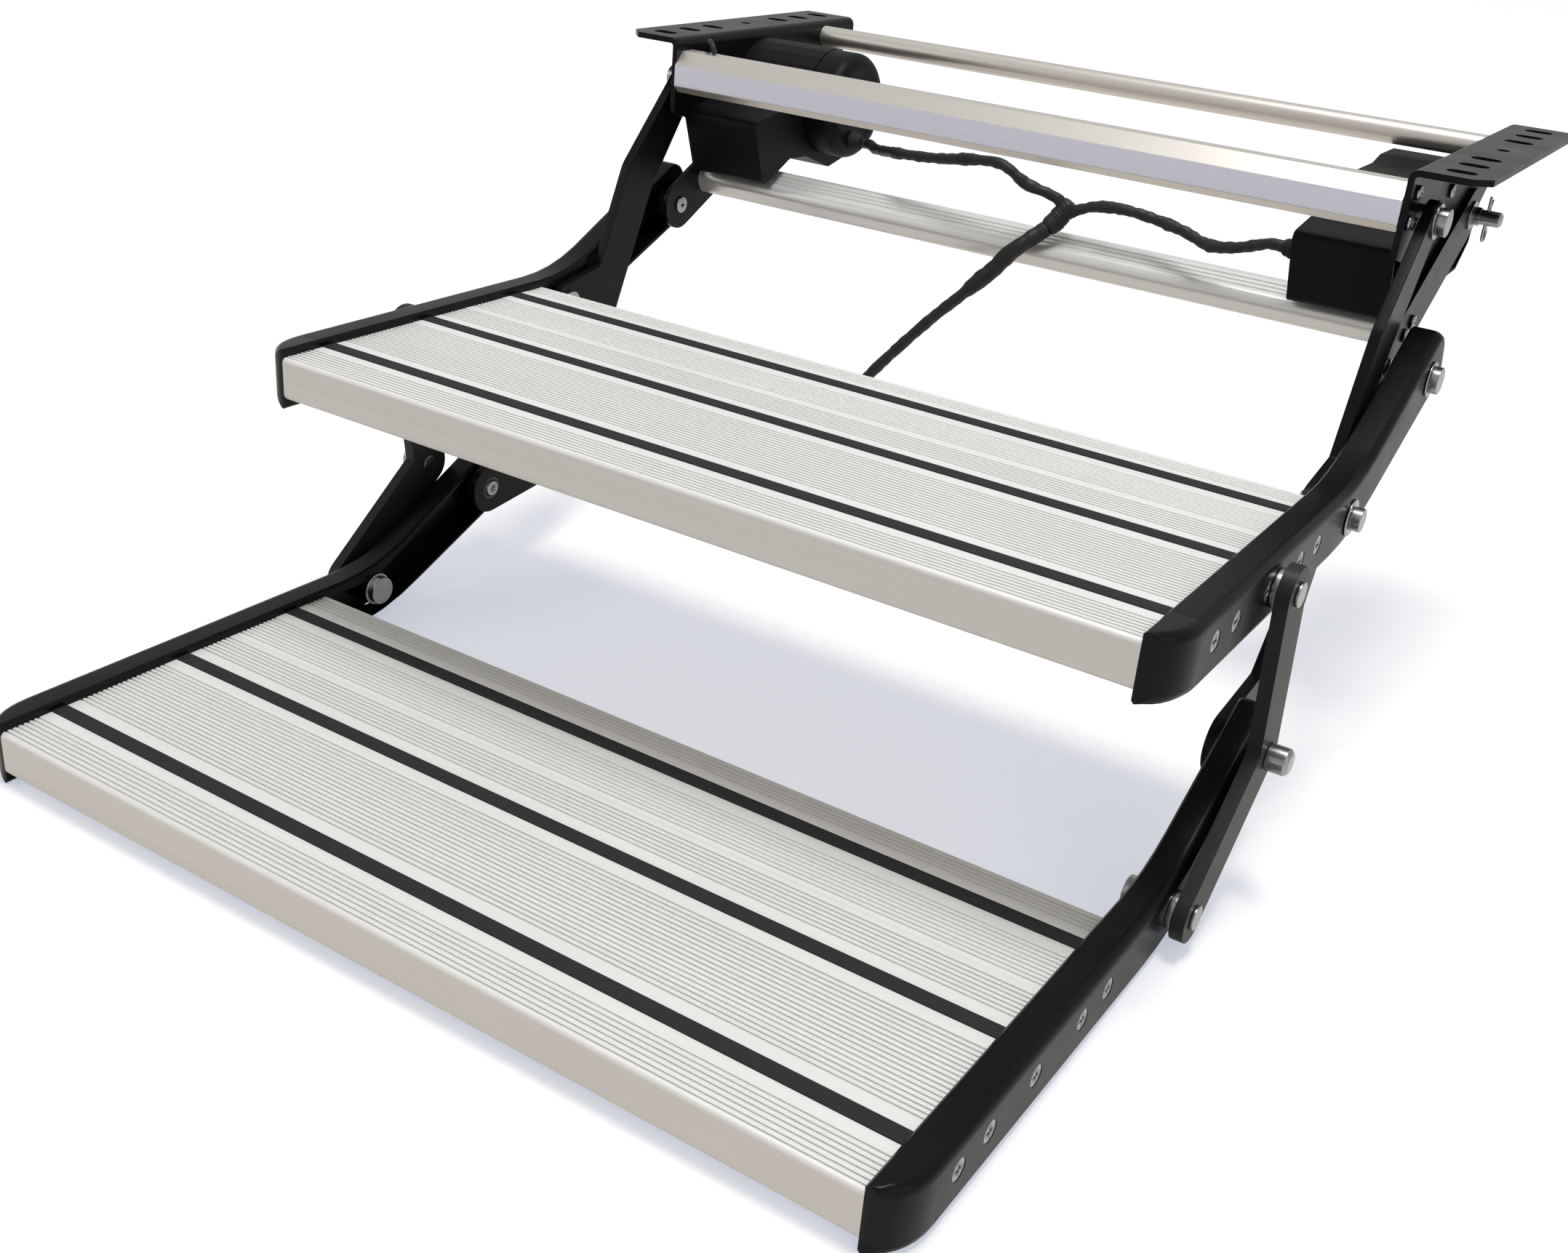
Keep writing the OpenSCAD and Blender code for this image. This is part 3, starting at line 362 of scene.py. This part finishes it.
# Drive cover on the left and controller cover on the right: black ABS shells, moulded with thin walls.
# One pan head screw holds each to its web.
# Moulded ABS: black, with a fine spark-eroded grain drawn 1 mm across so that it shows.
shell_finish, tree, surface, at = new_finish("moulded_black_abs")
grit = add(tree, "TexVoronoi", {"Vector": at, "Scale": 1 / 0.001})
cloud = add(tree, "TexNoise", {"Vector": at, "Scale": 30.0, "Detail": 3.0})
tint = add(tree, "MixRGB", {"Fac": cloud.outputs["Fac"], "Color1": srgb("0a0a0b"), "Color2": srgb("111112")})
gloss = add(tree, "MapRange", {"Value": cloud.outputs["Fac"], "To Min": 0.42, "To Max": 0.58})
bumps = add(tree, "Bump", {"Height": grit.outputs["Distance"], "Strength": 0.12, "Distance": 0.0003})
shell = add(tree, "BsdfPrincipled", {"Base Color": tint.outputs[0], "Roughness": gloss.outputs[0],
                                     "Normal": bumps.outputs[0], "Specular IOR Level": 0.12})
tree.links.new(shell.outputs[0], surface)
dress("drive_cover control_cover", shell_finish, 0.0008)
piece = put_mesh("cover_screws_driven", set_out(pan, both_sides([(web_face, -22, -26)])), zinc_finish)
stand_in(piece, "chassis", "cover_screws")

# Motor, gearbox and controller: a deep-drawn motor can on a cast gearbox, and a potted control box.
# The gearbox lies against the left web, and the controller against the wall of its cover.
# Cast zinc alloy: dull grey with a pebbled skin about 3 mm across.
cast_finish, tree, surface, at = new_finish("as_cast_zinc_alloy")
skin = add(tree, "TexNoise", {"Vector": at, "Scale": 1 / 0.003, "Detail": 5.0})
tint = add(tree, "MixRGB", {"Fac": skin.outputs["Fac"], "Color1": srgb("55575a"), "Color2": srgb("74767a")})
bumps = add(tree, "Bump", {"Height": skin.outputs["Fac"], "Strength": 0.3, "Distance": 0.0004})
cast = add(tree, "BsdfPrincipled", {"Base Color": tint.outputs[0], "Roughness": 0.55, "Metallic": 0.8,
                                    "Normal": bumps.outputs[0]})
tree.links.new(cast.outputs[0], surface)
dress("gearbox", cast_finish, 0.001)
dress("control_module", shell_finish, 0.001)
# The can's rows run from inside the cover to its flat end, at x = 0, with a rounded rim and a ringed end face.
can_r, can_round, inner_r, cover_mouth = 38.8, 9, 36, 25.7
motor_end = (-176, -8, -46)
lean = np.linspace(0, np.pi / 2, 9)
can_rows = [(50, 0.1), (50, inner_r), (cover_mouth, inner_r), (cover_mouth, can_r - 0.4),
            (cover_mouth - 0.4, can_r), (can_round, can_r)]
can_rows += [(can_round * (1 - np.sin(a)), can_r - can_round * (1 - np.cos(a))) for a in lean[1:]]
can_rows += [(0, 26), (0.6, 25.4), (0.6, 14), (0, 13.4), (0, 8), (1, 7.2), (1, 0.1)]
can_points, can_faces, _ = set_out(turned(can_rows[::-1], sides=96), [motor_end])
piece = put_mesh("motor_can", (can_points, can_faces), shell_finish)
stand_in(piece, "chassis", "motor")

# Wiring: two taped branches from the motor and the controller meet in a taped joint, and a main cable,
# thickly taped at its start, hangs from it behind the upper tread to a plug-in connector. All black PVC.


def smooth_route(route, count):
    """A Catmull-Rom curve through points in millimetres, resampled at equal steps along its length."""
    p = np.array(route) / 1000
    p = np.vstack([2 * p[0] - p[1], p, 2 * p[-1] - p[-2]])
    t = np.linspace(0, len(p) - 3, 3000)
    i = np.minimum(t.astype(int), len(p) - 4)
    f = (t - i)[:, None]
    a, b, c, d = p[i], p[i + 1], p[i + 2], p[i + 3]
    fine = 0.5 * (2 * b + (c - a) * f + (2 * a - 5 * b + 4 * c - d) * f ** 2 + (3 * b - a - 3 * c + d) * f ** 3)
    run = np.concatenate([[0], np.cumsum(np.linalg.norm(np.diff(fine, axis=0), axis=1))])
    s = np.linspace(0, run[-1], count)
    return np.stack([np.interp(s, run, fine[:, k]) for k in range(3)], 1)


def length_of(path):
    """The sum of the steps along a path, in metres."""
    return float(np.linalg.norm(np.diff(path, axis=0), axis=1).sum())


def tube(path, radius, across=None):
    """Rings square to a path. `radius` holds one value for each path point and side, and `across` is the
    direction of each ring's first spoke: by default, square to the path and to Y."""
    ahead = np.gradient(path, axis=0)
    ahead /= np.linalg.norm(ahead, axis=1, keepdims=True)
    if across is None:
        across = np.cross(ahead, (0, 1, 0))
        across /= np.linalg.norm(across, axis=1, keepdims=True)
    across = np.broadcast_to(across, path.shape)
    up = np.cross(ahead, across)
    turn = np.linspace(0, 2 * np.pi, radius.shape[1], endpoint=False)[:, None]
    spokes = np.cos(turn) * across[:, None] + np.sin(turn) * up[:, None]
    return ringed(path[:, None] + radius[..., None] * spokes, path[0], path[-1])


def taped(path, diameter, bulges, sides=20):
    """Radius of a taped bundle: a ramp of 0.35 mm that winds once every 9 mm, on a wire bundle that swells
    by a bell curve at each (share of length, height in mm)."""
    share = np.linspace(0, 1, len(path))[:, None]
    turn = np.arange(sides) / sides
    wind = (share * length_of(path) / 0.009 + turn) % 1
    swell = sum(h / 1000 * np.exp(-((share - at) / 0.035) ** 2) for at, h in bulges)
    uneven = 0.00018 * np.sin(share * 61 + 6.283 * turn * 2) + 0.00014 * np.sin(share * 143 + 1.3)
    return diameter / 2 - 0.0005 + 0.00035 * wind + swell + uneven


# Cloth-backed PVC tape: dull black, a fine weave 0.6 mm apart, and a sheen that comes and goes over 12 mm.
tape_finish, tree, surface, at = new_finish("black_pvc_harness_tape")
weave = add(tree, "TexNoise", {"Vector": at, "Scale": 1 / 0.0006, "Detail": 2.0})
cloud = add(tree, "TexNoise", {"Vector": at, "Scale": 1 / 0.012, "Detail": 3.0})
tint = add(tree, "MixRGB", {"Fac": cloud.outputs["Fac"], "Color1": srgb("141415"), "Color2": srgb("202022")})
gloss = add(tree, "MapRange", {"Value": cloud.outputs["Fac"], "From Min": 0.3, "From Max": 0.7,
                               "To Min": 0.4, "To Max": 0.65})
bumps = add(tree, "Bump", {"Height": weave.outputs["Fac"], "Strength": 0.25, "Distance": 0.0003})
pvc = add(tree, "BsdfPrincipled", {"Base Color": tint.outputs[0], "Roughness": gloss.outputs[0],
                                   "Normal": bumps.outputs[0], "Specular IOR Level": 0.4})
tree.links.new(pvc.outputs[0], surface)

fine = smooth_route([(36, -71, -70), (32, -73, -77), (28, -76, -84), (24, -80, -89)], 60)
ends = np.linspace(-1, 1, len(fine))[:, None]
round_off = np.sqrt(np.clip(1 - np.abs(ends) ** 5, 0, 1)) * 0.4 + 0.6
sleeve_radius = taped(fine, 0.0148, [(0.5, 0.2)]) * round_off
sleeve = put_mesh("joint_sleeve_taped", tube(fine, sleeve_radius), tape_finish)
stand_in(sleeve, "chassis", "joint_sleeve")

motor_exit, control_exit, branch_d = (-167, -15, -70), (193, -92, -66), 0.008
branches = (
    ("motor_cable", "fitting", [sleeve], [(0.33, 0.5), (0.62, 0.8), (0.86, 0.5)],
     [motor_exit, (-157, -18, -70), (-140, -38, -68), (-106, -65, -62), (-70, -75, -58), (-35, -83, -52),
      (-12, -87, -51), (5, -83, -61), (20, -77, -66), (28, -74, -70), (32, -73, -76)]),
    ("control_cable", "object", [], [(0.3, 0.7), (0.52, 0.5), (0.8, 0.6)],
     [control_exit, (183, -92, -66), (162, -90, -73), (142, -86, -76), (122, -80, -72), (98, -75, -69),
      (76, -75, -67), (56, -73, -69), (42, -73, -74), (34, -74, -79)]))
for name, far_end, carried, bulges, route in branches:
    fine = smooth_route(route, 160)
    piece = put_mesh(name + "_taped", tube(fine, taped(fine, branch_d, bulges)), tape_finish)
    stand_in(piece, "chassis", name)

# The main cable is thickly taped over its first quarter, then thins by a logistic step along its length.
trunk_taped_d, trunk_d = 0.011, 0.0085
thick, thin, thins_at, step_width = 1.06, 0.78, 0.27, 0.012
trunk_route = [(24, -80, -89), (18, -86, -95), (8, -98, -106), (0, -105, -118), (-8, -108, -127),
               (-22, -109, -142), (-40, -108, -160), (-62, -106, -184), (-90, -105, -217),
               (-112, -109, -250), (-122, -120, -285)]
fine = smooth_route(trunk_route, 180)
share = np.linspace(0, 1, len(fine))[:, None]
bundle = thick - (thick - thin) / (1 + np.exp((thins_at - share) / step_width))
trunk_radius = taped(fine, trunk_taped_d, [(0.12, 0.4), (0.2, 0.5)]) * bundle
trunk = put_mesh("trunk_cable_taped", tube(fine, trunk_radius), tape_finish)


def loft(rows, power=5, sides=64):
    """A box with round corners, lofted down Z: each row (z, half width, half depth) in millimetres is a
    superellipse, |x/w|^p + |y/d|^p = 1."""
    z, w, d = np.array(rows).T[:, :, None] / 1000
    turn = np.linspace(0, 2 * np.pi, sides, endpoint=False)
    c, s = np.cos(turn), np.sin(turn)
    scale = (np.abs(c) ** power + np.abs(s) ** power) ** (-1 / power)
    rings = np.stack([w * c * scale, d * s * scale, z + 0 * turn], -1)
    return ringed(rings, rings[0].mean(0), rings[-1].mean(0))


# The connector's rows run from the end of the block in its mouth up to the floor of the gap round it,
# down the inner wall to the lip, and up the outside to the neck.
plug_top = (-122, -122, -285)
block_rows = [(-33, 0.1, 0.1), (-33, 9, 5), (-17, 9, 5)]
inner_rows = [(-17, 10.4, 6.4), (-33, 10.6, 6.6), (-34, 11, 7)]
outer_rows = [(-33, 11.6, 7.6), (-19, 11.6, 7.6), (-18, 12, 8), (-13, 12, 8), (-12, 11.4, 7.4), (-4, 11, 7)]
neck_rows = [(-2, 9.6, 6.4), (-1.6, 6.4, 6.2), (0, 6, 6), (0, 0.1, 0.1)]
plug_points, plug_faces = loft(block_rows + inner_rows + outer_rows + neck_rows)
plug_points = plug_points + np.array(plug_top) / 1000
plug = put_mesh("trunk_connector_moulded", (plug_points, plug_faces), shell_finish)
for piece, name in ((trunk, "trunk_cable"), (plug, "trunk_connector")):
    stand_in(piece, "chassis", name)
    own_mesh(piece)

lead_d, lead_radius, lead_sides = 0.004, 0.0019, 14
lead_route = [(-240, -113, -8), (-243, -112, -3), (-250, -106, -1), (-257, -98, -5), (-262, -92, -13),
              (-267, -90, -18)]
fine = smooth_route(lead_route, 80)
lead = put_mesh("light_lead_sheathed", tube(fine, np.full((len(fine), lead_sides), lead_radius)), tape_finish)
stand_in(lead, "chassis", "light_lead")

# Soft rubber: charcoal, matt, with a faint moulded bloom.
rubber_finish, tree, surface, at = new_finish("moulded_black_rubber")
bloom = add(tree, "TexNoise", {"Vector": at, "Scale": 1 / 0.006, "Detail": 4.0})
grain = add(tree, "TexNoise", {"Vector": at, "Scale": 1 / 0.0009, "Detail": 2.0})
tint = add(tree, "MixRGB", {"Fac": bloom.outputs["Fac"], "Color1": srgb("1b1b1c"), "Color2": srgb("272728")})
bumps = add(tree, "Bump", {"Height": grain.outputs["Fac"], "Strength": 0.35, "Distance": 0.0004})
soft = add(tree, "BsdfPrincipled", {"Base Color": tint.outputs[0], "Roughness": 0.78,
                                    "Normal": bumps.outputs[0], "Specular IOR Level": 0.3})
tree.links.new(soft.outputs[0], surface)
dress("light_grommet", rubber_finish, 0.0004)


def facing_in(shape):
    """A turned shape turned about, so that its head faces the middle of the step."""
    points, faces, sunk = shape
    return points * (-1, 1, 1), [face[::-1] for face in faces], sunk


boot_rows = [(-11, 0.1), (-11, 5), (-9.5, 5), (-9, 7), (-6.6, 7), (-6.2, 6.3), (-5.4, 6.3), (-5, 6.6),
             (-3.6, 6.2), (-3.2, 5.5), (-2.6, 5.5), (-2.2, 5.8), (-0.6, 5.2), (0, 4.8), (0, 0.1)]
boot = facing_in(turned(boot_rows, sides=40))
boot_points, boot_faces, _ = set_out(boot, [motor_exit, control_exit])
piece = put_mesh("cable_boots", (boot_points, boot_faces), rubber_finish)
stand_in(piece, "chassis", "cable_glands")

# Bracket pins: turned steel pins with washers, zinc plated, near the front of each web. The right rear pin
# is held by a spring clip: a straight leg through the pin, a loop, and a waved leg round it.
dress("bracket_pins bracket_washers rear_pin", zinc_finish, 0.0006)
clip_x, wire_radius, wire_sides = 284, 0.0009, 12
straight_leg = [(40, -36), (40, -43), (40, -50), (40, -57), (40, -61)]
loop = [(44.5 + 4.5 * np.cos(a), -61.5 - 4.5 * np.sin(a)) for a in np.linspace(np.pi, 0, 9)]
waved_leg = [(48.6, -60), (45, -56.5), (45.3, -53.5), (45.95, -50), (45.3, -46.5), (44.6, -43.5), (47, -39)]
wire = smooth_route([(clip_x, y, z) for y, z in straight_leg + loop + waved_leg], 140)
clip = tube(wire, np.full((len(wire), wire_sides), wire_radius), across=(1.0, 0.0, 0.0))
piece = put_mesh("spring_clip", clip, zinc_finish)
stand_in(piece, "chassis", "pin_clip")

# Rear links: flat steel bars from the rear pivots to the tails of the upper rails, driven on the left
# by the gearbox shaft, and joined by a grooved aluminium crossbar that two screws a side hold.
dress("left_rear_link right_rear_link", coat_finish, 0.0008)
# Bright anodised extrusion: whiter than the drawn bars, with die lines 2 mm apart along its length.
bright_finish, tree, surface, at = new_finish("bright_anodised_extrusion")
lines = add(tree, "Mapping", {"Vector": at, "Scale": (1.0, 1 / 0.002, 1 / 0.002)})
grain = add(tree, "TexNoise", {"Vector": lines.outputs[0], "Scale": 1.0, "Detail": 3.0})
tint = add(tree, "MixRGB", {"Fac": grain.outputs["Fac"], "Color1": srgb("dddcd9"), "Color2": srgb("e9e8e5")})
gloss = add(tree, "MapRange", {"Value": grain.outputs["Fac"], "To Min": 0.26, "To Max": 0.34})
metal = add(tree, "BsdfPrincipled", {"Base Color": tint.outputs[0], "Roughness": gloss.outputs[0],
                                     "Metallic": 0.5})
tree.links.new(metal.outputs[0], surface)
dress("crossbar", bright_finish, 0.0003)
dress("drive_shaft", zinc_finish, 0.0006)
rear_pivot, tail_pivot = np.array((40, -50)), np.array((-104, -124))
link_inner, link_outer = 270.5, 274
rivet_rows = [(-6, 0.1), (-6, 7), (-3.5, 7), (-3.5, 6), (-0.01, 6)]
rivet_rows += head_rows(radius=6.2, height=2.5, dome=0.6)
rivet = facing_in(turned(rivet_rows, cross=(2.4, 0.6, 1.2)))
spots = both_sides([(link_inner, *tail_pivot)])
piece = put_mesh("tail_rivets_driven", set_out(rivet, spots), zinc_finish)
stand_in(piece, "rear_links", "tail_rivets")
crossbar_from_tail, screw_spread = 40, 7
up_link = (rear_pivot - tail_pivot) / np.hypot(*(rear_pivot - tail_pivot))
spots = both_sides([(link_outer, *(tail_pivot + (crossbar_from_tail + step) * up_link))
                    for step in (-screw_spread, screw_spread)])
piece = put_mesh("crossbar_screws_driven", set_out(pan, spots), zinc_finish)
stand_in(piece, "rear_links", "crossbar_screws")

# Folding arms: flat steel plates with three pivots each, cut to a bent outline and powder coated.
# They turn on moulded acetal bushes in the pivot holes.
# Acetal: waxy black, faintly mottled.
bush_finish, tree, surface, at = new_finish("moulded_black_acetal")
mottle = add(tree, "TexNoise", {"Vector": at, "Scale": 1 / 0.005, "Detail": 3.0})
tint = add(tree, "MixRGB", {"Fac": mottle.outputs["Fac"], "Color1": srgb("151516"), "Color2": srgb("1f1f21")})
acetal = add(tree, "BsdfPrincipled", {"Base Color": tint.outputs[0], "Roughness": 0.4})
tree.links.new(acetal.outputs[0], surface)
dress("left_arm right_arm", coat_finish, 0.001)
dress("arm_bushes rear_bush outer_bushes", bush_finish, 0.0003)

# Treads: two ribbed aluminium planks each, sawn to length and satin anodised, with rubber grip strips
# pressed into their grooves.
# Satin anodised extrusion: pale warm silver with faint die lines along it, every few millimetres.
satin_finish, tree, surface, at = new_finish("satin_anodised_extrusion")
lines = add(tree, "Mapping", {"Vector": at, "Scale": (1.5, 1 / 0.004, 1 / 0.004)})
die = add(tree, "TexNoise", {"Vector": lines.outputs[0], "Scale": 1.0, "Detail": 4.0, "Roughness": 0.6})
cloud = add(tree, "TexNoise", {"Vector": at, "Scale": 9.0, "Detail": 3.0})
tint = add(tree, "MixRGB", {"Fac": die.outputs["Fac"], "Color1": srgb("dad8d4"), "Color2": srgb("e8e7e4")})
gloss = add(tree, "MapRange", {"Value": cloud.outputs["Fac"], "From Min": 0.3, "From Max": 0.7,
                               "To Min": 0.5, "To Max": 0.6})
bumps = add(tree, "Bump", {"Height": die.outputs["Fac"], "Strength": 0.06, "Distance": 0.0003})
metal = add(tree, "BsdfPrincipled", {"Base Color": tint.outputs[0], "Roughness": gloss.outputs[0],
                                     "Metallic": 0.2, "Normal": bumps.outputs[0]})
tree.links.new(metal.outputs[0], surface)
dress("upper_front_plank upper_rear_plank lower_front_plank lower_rear_plank", satin_finish, 0.00025)
dress("upper_grip_strips lower_grip_strips", rubber_finish, 0.0005)

# Side rails: pressed steel rails with round edges, powder coated, closed at the nose by moulded nylon caps.
# Five countersunk screws a side run into the screw ports of the planks.
dress("upper_left_rail upper_right_rail lower_left_rail lower_right_rail", coat_finish, 0.0005)
# Moulded nylon: blue-black, smooth and rather glossy, with a faint flow mottle about 15 mm across.
nylon_finish, tree, surface, at = new_finish("moulded_black_nylon")
flow = add(tree, "TexNoise", {"Vector": at, "Scale": 1 / 0.015, "Detail": 3.0})
tint = add(tree, "MixRGB", {"Fac": flow.outputs["Fac"], "Color1": srgb("090b0d"), "Color2": srgb("0f1215")})
gloss = add(tree, "MapRange", {"Value": flow.outputs["Fac"], "To Min": 0.13, "To Max": 0.23})
nylon = add(tree, "BsdfPrincipled", {"Base Color": tint.outputs[0], "Roughness": gloss.outputs[0],
                                     "Specular IOR Level": 0.15})
tree.links.new(nylon.outputs[0], surface)
dress("upper_left_cap upper_right_cap lower_caps", nylon_finish, 0.0005)
rail_inner, rail_outer = 282, 302
screws_from_nose = (47, 76, 122, 173, 203)
csk_dome = [(-0.3 + 0.25 * (1 - u * u), 5.6 * u) for u in np.linspace(1, 0.02, 22)[1:]]
csk_rows = [(-38, 0.1), (-38, 3), (-3.3, 3), (-0.45, 5.75), (-0.3, 5.7)] + csk_dome
csk = turned(csk_rows, cross=(3.5, 0.85, 1.9))
for step, nose, height in (("upper", -493, -175.5), ("lower", -708, -345.5)):
    spots = both_sides([(rail_outer, nose + back, height) for back in screws_from_nose])
    piece = put_mesh(step + "_rail_screws_driven", set_out(csk, spots), zinc_finish)
    stand_in(piece, step + "_step", step + "_rail_screws")

# Step pivots and outer links: bent flat bars outside the rails join the two steps. Turned zinc plated
# pins, washers and a stop pin at the bend of each link.
# Sprayed satin enamel: a softer charcoal than the powder coat, with a dusting of overspray about 2 mm across.
enamel_finish, tree, surface, at = new_finish("satin_charcoal_enamel")
spray = add(tree, "TexNoise", {"Vector": at, "Scale": 1 / 0.002, "Detail": 3.0})
tint = add(tree, "MixRGB", {"Fac": spray.outputs["Fac"], "Color1": srgb("1f1f20"), "Color2": srgb("2b2b2c")})
bumps = add(tree, "Bump", {"Height": spray.outputs["Fac"], "Strength": 0.12, "Distance": 0.0003})
enamel = add(tree, "BsdfPrincipled", {"Base Color": tint.outputs[0], "Roughness": 0.42,
                                      "Normal": bumps.outputs[0], "Specular IOR Level": 0.2})
tree.links.new(enamel.outputs[0], surface)
dress("left_outer_link right_outer_link", enamel_finish, 0.001)
dress("upper_pins upper_washers outer_link_pins stop_pins outer_studs", zinc_finish, 0.0006)
# The lower rails hang on a hollow rivet at each arm and a washered pin at each outer link's foot.
arm_inner, arm_foot, link_foot = 274.5, (-313, -299), (-421, -344)
hollow_rivet = turned([(6, 0.1), (6, 2), (-1.5, 2), (-1.5, 4.9), (-1, 5.4), (0.3, 5.4), (0.3, 6), (27.5, 6),
                       (27.5, 8.1), (27.9, 8.5), (29.1, 8.5), (29.5, 8.1), (29.5, 0.1)])
washered_pin = turned([(-6.5, 0.1), (-6.5, 8.8), (-5.8, 9.5), (-1.5, 9.5), (-1.5, 10.7), (-1.2, 11),
                       (-0.3, 11), (0, 10.7), (0, 6), (20, 6), (20, 10.7), (20.3, 11), (23.4, 11),
                       (23.7, 10.7), (23.7, 0.1)])
rivet_points, rivet_faces, _ = set_out(hollow_rivet, both_sides([(arm_inner, *arm_foot)]))
pin_points, pin_faces, _ = set_out(washered_pin, both_sides([(rail_inner, *link_foot)]))
pin_faces = [[i + len(rivet_points) for i in face] for face in pin_faces]
lower_pins = np.vstack([rivet_points, pin_points]), rivet_faces + pin_faces
piece = put_mesh("lower_pins_turned", lower_pins, zinc_finish)
stand_in(piece, "lower_step", "lower_pins")
